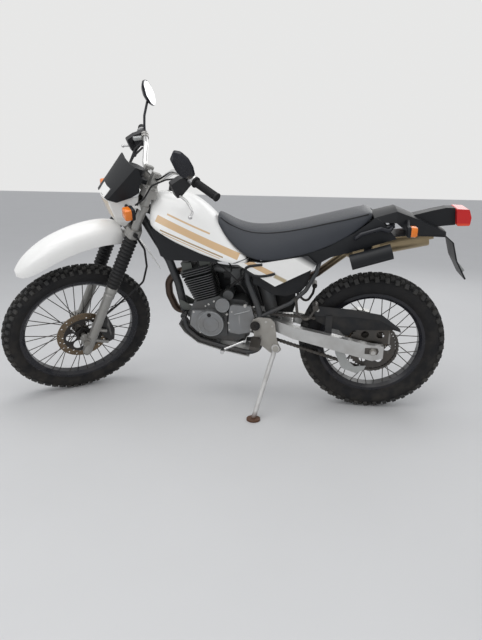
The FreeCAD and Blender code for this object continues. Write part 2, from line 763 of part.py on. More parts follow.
def tail_lamp():
    lens = slab([(-279 - SEAT_GAP, 934), (-328, 932), (-340, 900), (-338, 868), (-288 - SEAT_GAP, 866)], -52, 52, 6)
    return lens


def box_lamp(x, y, z):
    """An indicator's rounded box, its lens face a little taller than its back."""
    return slab([(x - 21, z - 19), (x + 19, z - 22), (x + 19, z + 22), (x - 21, z + 19)], y - 23, y + 23, 9)


def rear_indicators():
    lamp = joined([box_lamp(-93, 162, 864), rod((-93, 74, 886), (-93, 146, 866), 6.0)])
    return grouped(both(lamp))


def hanger(side, x, y, low):
    """A plate against a seat rail with a stud for what it carries."""
    plate = slab([(x - 15, low - 10), (x + 15, low - 10), (x + 15, 846), (x - 15, 856)], side * y, side * (y + 4), 4)
    stud = rod((x, side * y, low), (x, side * (y + 24), low), 8.0)
    return joined([plate, stud])


def tool_tube():
    return joined([rod((128, 140, 727), (-30, 140, 778), 31.0), hanger(1, 60, 98.2, 752)])


# Rear suspension

ARM_THROAT = REAR_TYRE_R + 23.0
BRIDGE_BACK = ARM_THROAT + 5.0
BRIDGE_FRONT = BRIDGE_BACK + 54.0


def swingarm():
    z = REAR_AXLE.z
    side = slab([(540, 446), (490, 445), (414, 433), (5, z + 26), (-46, z + 22), (-46, z - 34), (0, z - 48),
                 (444, 388), (490, 397), (540, 397)], -120, 120)
    plan = prism([(-46, 80), (ARM_THROAT, 80), (ARM_THROAT + 85, 44), (545, 44), (545, 72),
                  (ARM_THROAT + 110, 72), (ARM_THROAT, 110), (-46, 110)], 200, 500)
    left = side.common(plan)
    right = mirrored(left)
    bridge = slab([(BRIDGE_BACK, 386), (BRIDGE_FRONT, 386), (BRIDGE_FRONT, 426), (BRIDGE_BACK, 418)],
                  -86, 86, 6)
    solid = joined([left, right, bridge])
    solid = solid.cut(rod((0, -130, REAR_AXLE.z), (0, 130, REAR_AXLE.z), REAR_AXLE_R + SEAT_GAP))
    return solid.cut(rod((PIVOT_X, -130, PIVOT_Z), (PIVOT_X, 130, PIVOT_Z), PIVOT_R + SEAT_GAP))


def rear_axle():
    bar = rod((0, -122, REAR_AXLE.z), (0, 124, REAR_AXLE.z), REAR_AXLE_R)
    head = rod((0, 110 + SEAT_GAP, REAR_AXLE.z), (0, 124, REAR_AXLE.z), 15.0)
    nut = rod((0, -124, REAR_AXLE.z), (0, -110 - SEAT_GAP, REAR_AXLE.z), 14.0)
    spacers = []
    for side in (1, -1):
        spacers.append(rod((0, side * (REAR_HUB_HALF + 1.0), REAR_AXLE.z),
                           (0, side * (80 - SEAT_GAP), REAR_AXLE.z), 14.0))
    return joined([bar, head, nut] + spacers)


def rear_caliper():
    outline = [(92, 114), (60, 130), (2, 118), (-6, 82), (20, 58), (70, 50)]
    block_ = slab([(x, REAR_AXLE.z + up) for x, up in outline], -92, -52, 8)
    slot = rod((0, REAR_DISC_Y - 8, REAR_AXLE.z), (0, REAR_DISC_Y + 8, REAR_AXLE.z), REAR_DISC_R + 4)
    hanger = slab([(80, 400), (20, 400), (20, 351.2 + SEAT_GAP), (60, 359.5 + SEAT_GAP)], -92, -82)
    return joined([block_.cut(slot), hanger])


def shock():
    bottom = V(BRIDGE_FRONT + 34, 0, 408)
    top = V(*SHOCK_TOP)
    way = V(top - bottom).normalize()
    body = Part.makeCylinder(13.0, bottom.distanceToPoint(top), bottom, way)
    spring = Part.makeCylinder(30.0, 150.0, bottom + way * 50, way)
    eyes = [rod((x, -EYE_HALF, z), (x, EYE_HALF, z), 14.0) for x, _, z in (SHOCK_TOP, (BRIDGE_FRONT + 20, 0, 406))]
    solid = joined([body, spring] + eyes)
    face = BRIDGE_FRONT + SEAT_GAP
    bridge_room = slab([(BRIDGE_BACK, 386), (face, 386), (face, 427), (BRIDGE_BACK, 418)], -86, 86)
    return solid.cut(bridge_room)


def arm_underside(x):
    """Height of the swingarm's lower edge at x."""
    return 274 + x * (388 - 274) / 444


def chain_guards():
    guard = slab([(271, 512), (262, 480), (250, 466), (98, 466), (-21, 456), (-96, 416), (-121, 396),
                  (-110, 420), (-30, 480), (98, 500)], 76, 80, 4)
    tab = slab([(180, 470), (210, 470), (210, 391), (180, 384.8)], 80, 84)
    guide = slab([(163, arm_underside(163) - SEAT_GAP), (158, 290), (127, 220), (60, 196), (26, 216), (20, 236),
                  (70, 230), (104, 262), (120, arm_underside(120) - SEAT_GAP)], 80, 84)
    return grouped([joined([guard, tab]), guide])


def footpegs():
    outer = plate_inner() + PLATE_T + SEAT_GAP
    rider = joined([slab([(532, 368), (488, 360), (488, 346), (532, 352)], outer + 8, 212, 4),
                    slab([(524, 366), (492, 366), (492, 326), (516, 326)], outer, outer + 12, 5)])
    hanger = pipe([(342, 120, 556), (334, 120, 490), (292, 120, 452), (264, 120, 500), (258, 120, 536)],
                  6.0, 20)
    lug = rod((342, 114.2, 551), (342, 122, 551), 9.0)
    peg = rod((258, 118, 536), (258, 176, 536), 12.0)
    return grouped(both(rider) + both(joined([hanger, lug, peg])))


def pedals():
    shift = joined([rod((562, 48 + SEAT_GAP, 344), (562, 112, 342), 6.0),
                    rod((562, 106, 342), (655, 142, 312), 5.5),
                    rod((655, 132, 312), (655, 172, 312), 9.0)])
    outer = plate_inner() + PLATE_T + SEAT_GAP
    brake = joined([rod((546, -outer, 328), (546, -outer - 16, 328), 10.0),
                    rod((546, -outer - 10, 328), (672, -150, 326), 6.0),
                    slab([(696, 334), (660, 334), (660, 318), (696, 318)], -166, -138, 5)])
    return grouped([shift, brake])


# Side stand

def stand_foot(stance, up):
    """The middle of the foot's sole, on the ground of the parked bike."""
    point = V(STAND_FOOT_X, STAND_FOOT_Y, 0)
    return point - V(0, 0, stance.multVec(point).z / up.z)


def side_stand():
    axis = V(STAND_AXIS).normalize()
    stance = parked()
    up = stance.Rotation.inverted().multVec(V(0, 0, 1))
    foot = stand_foot(stance, up)
    ear = Part.makeCylinder(17.0, STAND_EAR, STAND_PIVOT, axis)
    start = STAND_PIVOT + axis * (LEG_R + 0.5)
    ankle = foot + up * 7.0
    leg = Part.makeCylinder(LEG_R, start.distanceToPoint(ankle), start, ankle - start)
    pad = Part.makeCylinder(30.0, 8.0, foot, up)
    pin_room = Part.makeCylinder(STAND_PIN_R + RUN_GAP, 60.0, STAND_PIVOT - axis * 20.0, axis)
    return joined([ear, leg, pad]).cut(pin_room)


# Steered front end, in the fork's own axes

def fork_clamps():
    web = [(-22, -24), (-22, 24), (12, 116), (62, 122), (68, 76), (44, 30), (44, -30), (68, -76), (62, -122),
           (12, -116)]
    lower = joined([prism(web, CLAMP_LOW, CLAMP_LOW_TOP, 12),
                    Part.makeCylinder(STEM_R, CLAMP_UP_TOP + 6 - CLAMP_LOW, V(0, 0, CLAMP_LOW))])
    upper = prism(web, CLAMP_UP, CLAMP_UP_TOP, 12)
    upper = upper.cut(Part.makeCylinder(STEM_R + SEAT_GAP, 400, V(0, 0, 850)))
    for side in (1, -1):
        hole = Part.makeCylinder(TUBE_R + SEAT_GAP, 600, V(FORK_AHEAD, side * FORK_HALF, 700))
        lower = lower.cut(hole)
        upper = upper.cut(hole)
    risers = []
    for side in (1, -1):
        base = side * 42
        risers.append(prism([(BAR_AHEAD - 19, base - 13), (BAR_AHEAD + 19, base - 13),
                             (BAR_AHEAD + 19, base + 13), (BAR_AHEAD - 19, base + 13)],
                            CLAMP_UP_TOP - 2, BAR_S + 18, 5))
    upper = joined([upper] + risers)
    upper = upper.cut(rod((BAR_AHEAD, -80, BAR_S), (BAR_AHEAD, 80, BAR_S), BAR_R + SEAT_GAP))
    return on_fork(grouped([lower, upper]))


BAR_AHEAD = 10.0
BAR_S = CLAMP_UP_TOP + 38.0


def fork_legs():
    legs = []
    for side in (1, -1):
        y = side * FORK_HALF
        slider = lathe_z([(0, SLIDER_LOW - 14), (13, SLIDER_LOW - 14), (SLIDER_R, SLIDER_LOW),
                          (SLIDER_R, SLIDER_TOP), (TUBE_R, SLIDER_TOP), (TUBE_R, TUBE_TOP), (0, TUBE_TOP)],
                         FORK_AHEAD, y, 0)
        lug = rod((AXLE_AHEAD, y - side * 19, FRONT_AXLE_S), (AXLE_AHEAD, y + side * 19, FRONT_AXLE_S), 21.0)
        web = prism([(FORK_AHEAD, y - 12), (AXLE_AHEAD, y - 12), (AXLE_AHEAD, y + 12), (FORK_AHEAD, y + 12)],
                    FRONT_AXLE_S - 30, FRONT_AXLE_S + 34)
        pieces = [slider, lug, web]
        if side > 0:
            for s, behind in ((350, -50), (410, -20)):
                pieces.append(rod((FORK_AHEAD, y - 8, s), (behind, y - 8, s), 8.0))
        leg = joined(pieces)
        legs.append(leg.cut(rod((AXLE_AHEAD, -160, FRONT_AXLE_S), (AXLE_AHEAD, 160, FRONT_AXLE_S),
                                FRONT_AXLE_R + SEAT_GAP)))
    return on_fork(grouped(legs))


def fork_gaiters():
    bore = TUBE_R + SEAT_GAP
    step = (GAITER_TOP - GAITER_LOW) / GAITER_RIBS
    profile = [(bore, GAITER_LOW)]
    for i in range(GAITER_RIBS):
        s = GAITER_LOW + i * step
        profile += [(GAITER_ROOT_R, s), (GAITER_R, s + step / 2)]
    profile += [(GAITER_ROOT_R, GAITER_TOP), (bore, GAITER_TOP)]
    return on_fork(grouped(both(lathe_z(profile, FORK_AHEAD, FORK_HALF, 0))))


def front_axle():
    y = FORK_HALF + 19 + SEAT_GAP
    bar = rod((AXLE_AHEAD, -y - 8, FRONT_AXLE_S), (AXLE_AHEAD, y + 8, FRONT_AXLE_S), FRONT_AXLE_R)
    caps = []
    for side in (1, -1):
        caps.append(rod((AXLE_AHEAD, side * y, FRONT_AXLE_S), (AXLE_AHEAD, side * (y + 8), FRONT_AXLE_S), 13.0))
        caps.append(rod((AXLE_AHEAD, side * (FRONT_HUB_HALF + 1.0), FRONT_AXLE_S),
                        (AXLE_AHEAD, side * (FORK_HALF - 19 - SEAT_GAP), FRONT_AXLE_S), 12.0))
    return on_fork(joined([bar] + caps))


def front_caliper():
    block_ = slab([(1282, 420), (1246, 424), (1222, 350), (1230, 292), (1264, 282), (1284, 340)], 34, 78.6, 8)
    slot = rod((FRONT_AXLE.x, FRONT_DISC_Y - 7, FRONT_AXLE.z), (FRONT_AXLE.x, FRONT_DISC_Y + 7, FRONT_AXLE.z),
               FRONT_DISC_R + 4)
    return block_.cut(slot)


def front_fender():
    # columns: ahead of the axle, top above it, edge above it, half width
    rows = [(-223, 501, 423, 54), (-203, 523, 427, 58), (-143, 541, 440, 66), (-43, 535, 434, 70),
            (61, 505, 412, 70), (140, 463, 391, 64), (190, 422, 377, 50), (216, 391, 372, 34)]
    wires = [arch_section(FRONT_AXLE.x + ahead, FRONT_AXLE.z + top, FRONT_AXLE.z + edge, half, SHELL)
             for ahead, top, edge, half in rows]
    main = loft(wires)
    fall = [(-217, 467), (-257, 461), (-313, 441), (-365, 355), (-403, 267)]
    tail = strip([(FRONT_AXLE.x + x, FRONT_AXLE.z + z) for x, z in fall], SHELL, -52, 52)
    bosses = []
    for ahead, foot in ((45, 876), (5, 881)):
        for y in (-30, 30):
            bosses.append(on_fork(Part.makeCylinder(7.0, CLAMP_LOW - SEAT_GAP - foot, V(ahead, y, foot))))
    return joined([main, tail] + bosses)


# columns: height, rear, half width there, crease, half width there, front
COWL_ROWS = [(852, 1114, 36, 1126, 24, 1136),
             (882, 1100, 62, 1138, 38, 1152),
             (906, 1082, 76, 1152, 46, 1166),
             (973, 1066, 85, 1172, 56, 1188),
             (1000, 1060, 86, 1176, 58, 1192)]
VISOR_ROWS = [(984, 1038, 97, 1196, 62, 1208),
              (1001, 1034, 97, 1183, 64, 1194),
              (1062, 1034, 95, 1124, 75, 1133),
              (1124, 1060, 88, 1065, 86, 1072)]
BROW_HALF = 38.0
BROW_TOP = 1032.0


def nose(rows, wall=0.0, back=0.0):
    """A body through the rows, drawn in by a wall and drawn out at the back."""
    wires = []
    for z, rear, rear_half, crease, crease_half, front in rows:
        wires.append(nose_section(z, rear - back, rear_half - wall, crease - wall, crease_half - wall, front - wall))
    return loft(wires)


def cowl_side(x, z):
    """Half the cowl's width at a place on its flank."""
    for low, high in zip(COWL_ROWS, COWL_ROWS[1:]):
        if low[0] <= z <= high[0]:
            share = (z - low[0]) / (high[0] - low[0])
            _, rear, rear_half, crease, crease_half, _ = [a + share * (b - a) for a, b in zip(low, high)]
            return rear_half + (x - rear) / (crease - rear) * (crease_half - rear_half)
    raise ValueError("the cowl does not reach this height")


def lamp_window(gap):
    outline = [(-50, 988), (50, 988), (38, 902), (-38, 902)]
    grown = [(y - math.copysign(gap, y), z + (gap if z < 945 else -gap)) for y, z in outline]
    return outline_face([V(1112, y, z) for y, z in grown], 6.0).extrude(V(120, 0, 0))


def cowl():
    shell = nose(COWL_ROWS).cut(nose(COWL_ROWS, SHELL, 12.0)).cut(lamp_window(0.0))
    brow = slab([(1150, 998), (1189, 998), (1162, BROW_TOP), (1150, BROW_TOP)], -BROW_HALF, BROW_HALF, 2)
    pieces = [shell, brow]
    for side in (1, -1):
        ring = on_fork(Part.makeCylinder(23.0, 20.0, V(FORK_AHEAD, side * FORK_HALF, 1030)))
        wall = cowl_side(1086, 955) - SHELL / 2
        pieces.append(ring)
        pieces.append(rod((1058, side * 90, 955), (1086, side * wall, 955), 5.0))
    ears = joined(pieces)
    for side in (1, -1):
        ears = ears.cut(on_fork(Part.makeCylinder(TUBE_R + SEAT_GAP, 400, V(FORK_AHEAD, side * FORK_HALF, 800))))
    return ears


def headlamp():
    lens = nose(COWL_ROWS).common(lamp_window(SEAT_GAP))
    bucket = Part.makeCone(28.0, 46.0, 60.0, V(1078, 0, 940), V(1, 0, 0.05))
    inside = nose(COWL_ROWS, SHELL + 1, 30.0)
    return joined([lens, bucket.common(inside)])


def visor():
    shell = nose(VISOR_ROWS).cut(nose(VISOR_ROWS, SHELL, 12.0))
    side = slab([(1058, 1124), (1041, 1070), (1055, 1048), (1057, 1020), (1092, 1001), (1150, 985), (1190, 1001),
                 (1215, 1006), (1110, 1124)], -120, 120, 6)
    notch = slab([(1100, 900), (1230, 900), (1230, BROW_TOP + SEAT_GAP), (1100, BROW_TOP + SEAT_GAP)],
                 -BROW_HALF - SEAT_GAP, BROW_HALF + SEAT_GAP)
    return shell.common(side).cut(notch)


POD_R = 36.0


def instruments():
    pod = joined([Part.makeCylinder(POD_R, 32.0, V(84, 0, 1140)),
                  prism([(42, -58), (84, -58), (84, 58), (42, 58)], CLAMP_UP_TOP + SEAT_GAP, 1142, 6)])
    return on_fork(pod)


def front_indicators():
    foot = (1112, cowl_side(1112, 968) + 1.9, 968)
    lamp = joined([box_lamp(1124, 148, 970), rod(foot, (1120, 132, 969), 7.0)])
    return grouped(both(lamp))


def bar_points(side):
    """The handlebar's bends on one side: the rise, the knee and the grip."""
    middle = FORK.multVec(V(BAR_AHEAD, 0, BAR_S))
    return [(middle.x, side * 84, middle.z), (932, side * 152, 1116), (908, side * 225, 1132),
            (901, side * 285, 1126), (861, side * 400, 1104)]


def handlebar():
    left = bar_points(1)
    right = bar_points(-1)
    return pipe(list(reversed(right)) + left, BAR_R, 50)


def grips():
    solids = []
    for side in (1, -1):
        inner, outer = [V(*p) for p in bar_points(side)[-2:]]
        way = V(outer - inner).normalize()
        start = inner + way * 8.0
        sleeve = Part.makeCylinder(GRIP_R, 119.0, start, way)
        flange = Part.makeCylinder(GRIP_R + 6, 4.0, start, way)
        room = Part.makeCylinder(BAR_R + SEAT_GAP, 200.0, inner - way * 20, way)
        end = Part.makeCylinder(GRIP_R, 4.0, outer + way * SEAT_GAP, way)
        solids.append(joined([sleeve, flange, end]).cut(room.cut(end)))
    return grouped(solids)


def hand_controls():
    """On each side a switch housing, a lever perch and the lever; the front brake's pump on the right."""
    solids = []
    for side in (1, -1):
        bar = [V(*p) for p in bar_points(side)]
        way = V(bar[4] - bar[3]).normalize()
        inward = V(bar[2] - bar[3]).normalize()
        housing = Part.makeCylinder(20.0, 20.0, bar[3] + way * 4, way * -1)
        clamp = Part.makeCylinder(14.0, 20.0, bar[3] + inward * 34, inward)
        perch = slab([(890, 1146), (952, 1134), (988, 1116), (980, 1092), (966, 1058), (950, 1058), (900, 1108)],
                     side * 236, side * 266, 6)
        lever = pipe([(960, side * 252, 1070), (943, side * 305, 1060), (941, side * 360, 1040),
                      (964, side * 385, 1034)], 5.0, 24)
        ball = Part.makeSphere(8.0, V(964, side * 385, 1034))
        pieces = [housing, clamp, perch, lever, ball]
        if side < 0:
            pieces.append(slab([(916, 1086), (958, 1090), (958, 1121), (916, 1116)], -262, -218, 4))
            pieces.append(rod((952, -240, 1060), (968, -216, 1052), 10.0))
        solids.append(joined(pieces))
    return grouped([s.cut(handlebar_room()) for s in solids])


def handlebar_room():
    """The bar with its clearance, for what clamps onto it."""
    return pipe(list(reversed(bar_points(-1))) + bar_points(1), BAR_R + SEAT_GAP, 50)


def brake_hose():
    """The front brake's hose, from the hand pump to the lower clamp and on to the caliper."""
    flank = 120.4 + SEAT_GAP
    upper = pipe([(925, -222, 1078), (985, -172, 1066), (1046, -130, 1010), (1076, -130, 920), (1097, -130, 852)],
                 HOSE_R, 40)
    lower = pipe([(1097, 130, 846), (1066, 132, 780), (1060, 128, 690), (1080, 124, 610), (1160, 112, 540),
                  (1226, 84, 470), (1262, 60, 426)], HOSE_R, 40)
    pieces = []
    for side, line, z in ((-1, upper, 850), (1, lower, 850)):
        base = on_fork(Part.makeBox(14, 12, 14, V(34, flank if side > 0 else -flank - 12, 916)))
        pieces.append(joined([line, base]))
    return grouped(pieces)


def bar_cables():
    """Switch leads from the bars to the back of the cowl."""
    leads = []
    for side in (1, -1):
        lead = pipe([(930, side * 206, 1108), (975, side * 176, 1098), (1018, side * 129.3, 1060),
                     (1050, side * 119.3, 1005), (1080, side * 96, 972)], 3.5, 30)
        leads.append(lead)
    return grouped(leads)


MIRROR_OUTLINE = [(-66, -8), (-60, 22), (-30, 42), (8, 44), (44, 34), (64, 8), (56, -26), (20, -42), (-34, -40)]
MIRROR_DEPTH = 20.0


def mirror_head(side, centre, facing):
    """A shallow housing: its glass side at the centre, its smaller back ahead of it."""
    wires = []
    for share, z in ((1.0, 0.0), (0.96, 0.5 * MIRROR_DEPTH), (0.7, MIRROR_DEPTH)):
        points = [V(x * share, side * y * share, z) for x, y in MIRROR_OUTLINE]
        wires.append(Part.Wire(rounded_edges(points, 18.0)))
    solid = loft(wires)
    solid.Placement = Placement(centre, facing)
    return solid


def mirrors():
    solids = []
    # columns: side, foot, knee, bend, top, head's centre, its turn, tilt and roll
    rows = [(-1, (900, -251, 1146.3), (898, -256, 1166), (891, -268, 1202), (856, -303, 1268),
             V(848.8, -300, 1285.4), -36.5, 15.8, -35.8),
            (1, (900, 251, 1146.3), (901, 255, 1162), (925, 284, 1165), (952, 299, 1177),
             V(953.5, 300, 1203.5), 35.4, 21.1, 15.4)]
    for side, foot, knee, bend, top, centre, turn, tilt, roll in rows:
        stem = pipe([foot, knee, bend, top], 5.5, 14)
        facing = Rotation(V(0, 0, 1), turn).multiply(Rotation(V(0, 1, 0), 90 + tilt))
        head = mirror_head(side, centre, facing.multiply(Rotation(V(0, 0, 1), roll)))
        solids.append(joined([stem, head]).cut(handlebar_room()))
    return grouped(solids)


# Which body each node belongs to

CHASSIS = [frame, pivot_brackets, crankcase, cylinder, engine_covers, carburettor, airbox, exhaust,
           skid_plate, fuel_tank, filler_cap, tank_panels, side_covers, seat, tail_cover, rear_fender,
           grab_rails, tail_lamp, rear_indicators, tool_tube, swingarm, rear_axle, rear_caliper, shock,
           front_sprocket, chain, chain_guards, footpegs, pedals]
STEERED = [fork_clamps, fork_legs, fork_gaiters, front_axle, front_caliper, front_fender, cowl, headlamp,
           visor, instruments, front_indicators, handlebar, grips, hand_controls, mirrors,
           brake_hose, bar_cables]
FRONT_WHEEL = [front_tyre, front_rim, front_hub, front_disc]
REAR_WHEEL = [rear_tyre, rear_rim, rear_hub, rear_disc, rear_sprocket]
STAND = [side_stand]


# Standing the bike on its wheels and stand

def turned(axis, degrees, about=V(0, 0, 0)):
    """A turn about a line through a point."""
    return Placement(V(0, 0, 0), Rotation(axis, degrees), about)


STEER = turned(FORK.Rotation.multVec(V(0, 0, 1)), STEER_STOP_DEG, V(WHEELBASE + TRAIL, 0, 0))


def lowest(placement, centre, profile):
    """How low a leaned wheel reaches."""
    middle = placement.multVec(centre)
    across = placement.Rotation.multVec(V(0, 1, 0))
    flat_share = math.sqrt(1 - across.z ** 2)
    return min(middle.z - r * flat_share - abs(y * across.z) for r, y in profile)


def parked():
    """Leans the bike and pitches it until both tyres touch the ground."""
    front = tyre_profile(FRONT_TYRE_R, FRONT_TYRE_HALF, FRONT_BEAD_R, FRONT_RIM_HALF)
    rear = tyre_profile(REAR_TYRE_R, REAR_TYRE_HALF, REAR_BEAD_R, REAR_RIM_HALF)
    pitch = 0.0
    for _ in range(12):
        stance = turned(V(1, 0, 0), -LEAN_DEG).multiply(turned(V(0, 1, 0), pitch))
        rear_low = lowest(stance, REAR_AXLE, rear)
        front_low = lowest(stance.multiply(STEER), FRONT_AXLE, front)
        pitch += math.degrees((front_low - rear_low) / WHEELBASE)
    return Placement(V(0, 0, -rear_low), Rotation()).multiply(stance)


def placed(shape, placement):
    moved = shape.copy()
    moved.Placement = placement.multiply(shape.Placement)
    return moved


def main():
    stance = parked()
    steered = stance.multiply(STEER)
    solids = {}
    for makers, placement in ((CHASSIS, stance), (STEERED, steered), (FRONT_WHEEL, steered),
                              (REAR_WHEEL, stance), (STAND, stance)):
        for make in makers:
            solids[make.__name__] = placed(make(), placement)
    boxes = [s.optimalBoundingBox(False, False) for s in solids.values()]
    low = V(min(b.XMin for b in boxes), min(b.YMin for b in boxes), min(b.ZMin for b in boxes))
    high = V(max(b.XMax for b in boxes), max(b.YMax for b in boxes), max(b.ZMax for b in boxes))
    shift = V(-(low.x + high.x) / 2, -(low.y + high.y) / 2, -low.z)
    print("size", high - low, "shift", shift)
    centred = Placement(shift, Rotation())
    for name, shape in solids.items():
        shape = placed(shape, centred)
        if not shape.isValid():
            print("not valid:", name)
        shape.exportStep("parts/%s.step" % name)
    for label, place in (("steering base", V(WHEELBASE + TRAIL, 0, 0)), ("front axle", FRONT_AXLE)):
        print(label, centred.multiply(steered).multVec(place))
    print("steering axis", steered.Rotation.multVec(FORK.Rotation.multVec(V(0, 0, 1))))
    print("front axle axis", steered.Rotation.multVec(V(0, 1, 0)))
    print("rear axle", centred.multiply(stance).multVec(REAR_AXLE), stance.Rotation.multVec(V(0, 1, 0)))
    outlet = V(MUFFLER_BACK - MUFFLER_FRONT).normalize()
    print("muffler outlet", centred.multiply(stance).multVec(MUFFLER_BACK + outlet * OUTLET_OUT / 2),
          stance.Rotation.multVec(outlet))
    print("stand", centred.multiply(stance).multVec(STAND_PIVOT),
          stance.Rotation.multVec(V(STAND_AXIS).normalize()))


main()
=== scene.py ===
"""A dual sport motorcycle, parked on its side stand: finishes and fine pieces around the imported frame."""

import json
import logging
import math
from collections.abc import Sequence
from dataclasses import dataclass, field
from enum import Enum

import bmesh
import bpy
from mathutils import Matrix, Vector

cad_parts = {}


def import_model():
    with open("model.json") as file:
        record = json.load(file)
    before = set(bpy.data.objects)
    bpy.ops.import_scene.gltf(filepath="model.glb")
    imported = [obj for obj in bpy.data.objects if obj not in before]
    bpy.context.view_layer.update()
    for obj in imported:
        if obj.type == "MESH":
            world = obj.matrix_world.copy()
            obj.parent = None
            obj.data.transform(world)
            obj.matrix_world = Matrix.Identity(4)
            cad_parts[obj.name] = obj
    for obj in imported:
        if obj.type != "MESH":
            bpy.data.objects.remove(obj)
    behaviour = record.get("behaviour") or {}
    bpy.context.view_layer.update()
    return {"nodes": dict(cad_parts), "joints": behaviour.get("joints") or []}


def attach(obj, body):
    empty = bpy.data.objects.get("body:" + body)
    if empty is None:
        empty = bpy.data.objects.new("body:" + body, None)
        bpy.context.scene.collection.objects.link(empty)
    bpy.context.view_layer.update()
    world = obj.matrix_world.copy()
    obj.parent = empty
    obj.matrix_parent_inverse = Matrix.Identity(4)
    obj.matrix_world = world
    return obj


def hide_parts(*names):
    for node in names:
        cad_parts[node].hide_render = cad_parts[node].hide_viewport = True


LOG = logging.getLogger("motorcycle")
Piece = bpy.types.Object
Mesh = bpy.types.Mesh
Material = bpy.types.Material
Tree = bpy.types.NodeTree
Node = bpy.types.Node
Socket = bpy.types.NodeSocket
Point = tuple[float, float, float]
Pair = tuple[float, float]
Outline = Sequence[Pair]
Colour = tuple[float, float, float]
SIDES = ((1, "left"), (-1, "right"))


class Body(Enum):
    """The moving groups that a piece can ride on."""

    CHASSIS = "chassis"
    STEERING = "steering"
    FRONT_WHEEL = "front_wheel"
    REAR_WHEEL = "rear_wheel"


class Slot(Enum):
    """The record's material slots, passed along with the pieces."""

    WHITE_PLASTIC = "white_plastic"
    BLACK_PLASTIC = "black_plastic"
    SEAT_VINYL = "seat_vinyl"
    RUBBER = "rubber"
    TYRE = "tyre"
    CHROME = "chrome"
    ALLOY = "alloy"
    STEEL = "steel"
    ENGINE_SILVER = "engine_silver"
    ENGINE_DARK = "engine_dark"
    BRACKET_PAINT = "bracket_paint"
    ORANGE_LENS = "orange_lens"
    MIRROR = "mirror"


class Axis(Enum):
    """A direction, or the distance from a wheel's axle."""

    X = "X"
    Y = "Y"
    Z = "Z"
    RADIUS = "R"


def tipped(degrees: float, axis: Axis) -> Matrix:
    """Matrix of a turn about X, Y or Z."""
    return Matrix.Rotation(math.radians(degrees), 4, axis.value)


@dataclass(frozen=True)
class Stance:
    """How the upright bike, in millimetres from the ground below its rear axle, stands when parked."""

    axle: Vector
    lean_deg: float = 7.45
    pitch_deg: float = 0.319
    steer_deg: float = 38.9
    rake_deg: float = 25.5
    steering_foot: float = 1459.0
    front_wheel_r: float = 345.0
    rear_wheel_r: float = 322.0
    axle_ahead: float = 63.7

    def chassis(self) -> Matrix:
        """Matrix from the upright bike to the parked one.

        Returns:
            The matrix, with millimetres turned into metres.
        """
        turn = tipped(-self.lean_deg, Axis.X) @ tipped(self.pitch_deg, Axis.Y)
        shift = self.axle - turn @ Vector((0, 0, self.rear_wheel_r / 1000))
        return Matrix.Translation(shift) @ turn @ Matrix.Scale(0.001, 4)

    def steered(self) -> Matrix:
        """Matrix for a piece given with the wheel straight ahead.

        Returns:
            The matrix, turned to the steering's stop.
        """
        rake = math.radians(self.rake_deg)
        foot = Matrix.Translation((self.steering_foot, 0, 0))
        turn = Matrix.Rotation(math.radians(self.steer_deg), 4, Vector((-math.sin(rake), 0, math.cos(rake))))
        return self.chassis() @ foot @ turn @ foot.inverted()

    def fork(self) -> Matrix:
        """Matrix for a piece given in the fork's axes, X ahead and Z up the steering axis."""
        return self.steered() @ Matrix.Translation((self.steering_foot, 0, 0)) @ tipped(-self.rake_deg, Axis.Y)

    def front_wheel(self) -> Matrix:
        """Matrix for a piece given about the front axle's middle.

        Returns:
            The matrix, with the rake turned back.
        """
        rake = math.radians(self.rake_deg)
        up = (self.front_wheel_r - self.axle_ahead * math.sin(rake)) / math.cos(rake)
        return self.fork() @ Matrix.Translation((self.axle_ahead, 0, up)) @ tipped(self.rake_deg, Axis.Y)

    def rear_wheel(self) -> Matrix:
        """Matrix for a piece given about the rear axle's middle."""
        return self.chassis() @ Matrix.Translation((0, 0, self.rear_wheel_r))


# Finishes


def add_node(tree: Tree, kind: str, **values: object) -> Node:
    """Adds a shader node to a tree.

    Args:
        tree: The node tree.
        kind: The node's type, without its ShaderNode prefix.
        values: Properties, and inputs written as in0, in1 and so on. A socket is linked.

    Returns:
        The new node.
    """
    node = tree.nodes.new("ShaderNode" + kind)
    for label, value in values.items():
        if not (label.startswith("in") and label[2:].isdigit()):
            setattr(node, label, value)
        elif isinstance(value, Socket):
            tree.links.new(value, node.inputs[int(label[2:])])
        else:
            node.inputs[int(label[2:])].default_value = value
    return node


class NodeGroup:
    """A shader node group that is filled once and placed in many materials."""

    def __init__(self, name: str, outputs: tuple[str, ...], **inputs: object) -> None:
        """Makes the empty group, with a Vector input in front of the others.

        Args:
            name: The group's name.
            outputs: Names of its outputs.
            inputs: Names of its inputs with their default values; a tuple gives a vector.
        """
        self.tree = bpy.data.node_groups.new(name, "ShaderNodeTree")
        for label, value in {"Vector": (0.0, 0.0, 0.0), **inputs}.items():
            kind = "NodeSocketVector" if isinstance(value, tuple) else "NodeSocketFloat"
            self.tree.interface.new_socket(label, in_out="INPUT", socket_type=kind).default_value = value
        for label in outputs:
            self.tree.interface.new_socket(label, in_out="OUTPUT", socket_type="NodeSocketFloat")
        self.entry = self.tree.nodes.new("NodeGroupInput").outputs
        self.exit = self.tree.nodes.new("NodeGroupOutput").inputs

    def node(self, kind: str, **values: object) -> Socket:
        """Adds a node as add_node does, and gives its first output."""
        return add_node(self.tree, kind, **values).outputs[0]

    def calculate(self, operation: str, a: Socket, b: Socket) -> Socket:
        """Adds a calculation with two values, named as the Math node names it."""
        return self.node("Math", operation=operation, in0=a, in1=b)

    def dot(self, a: Socket, b: Socket) -> Socket:
        """Adds the dot product of two vectors."""
        return add_node(self.tree, "VectorMath", operation="DOT_PRODUCT", in0=a, in1=b).outputs["Value"]

    def give(self, label: str, value: Socket) -> None:
        """Feeds one of the group's outputs."""
        self.tree.links.new(value, self.exit[label])


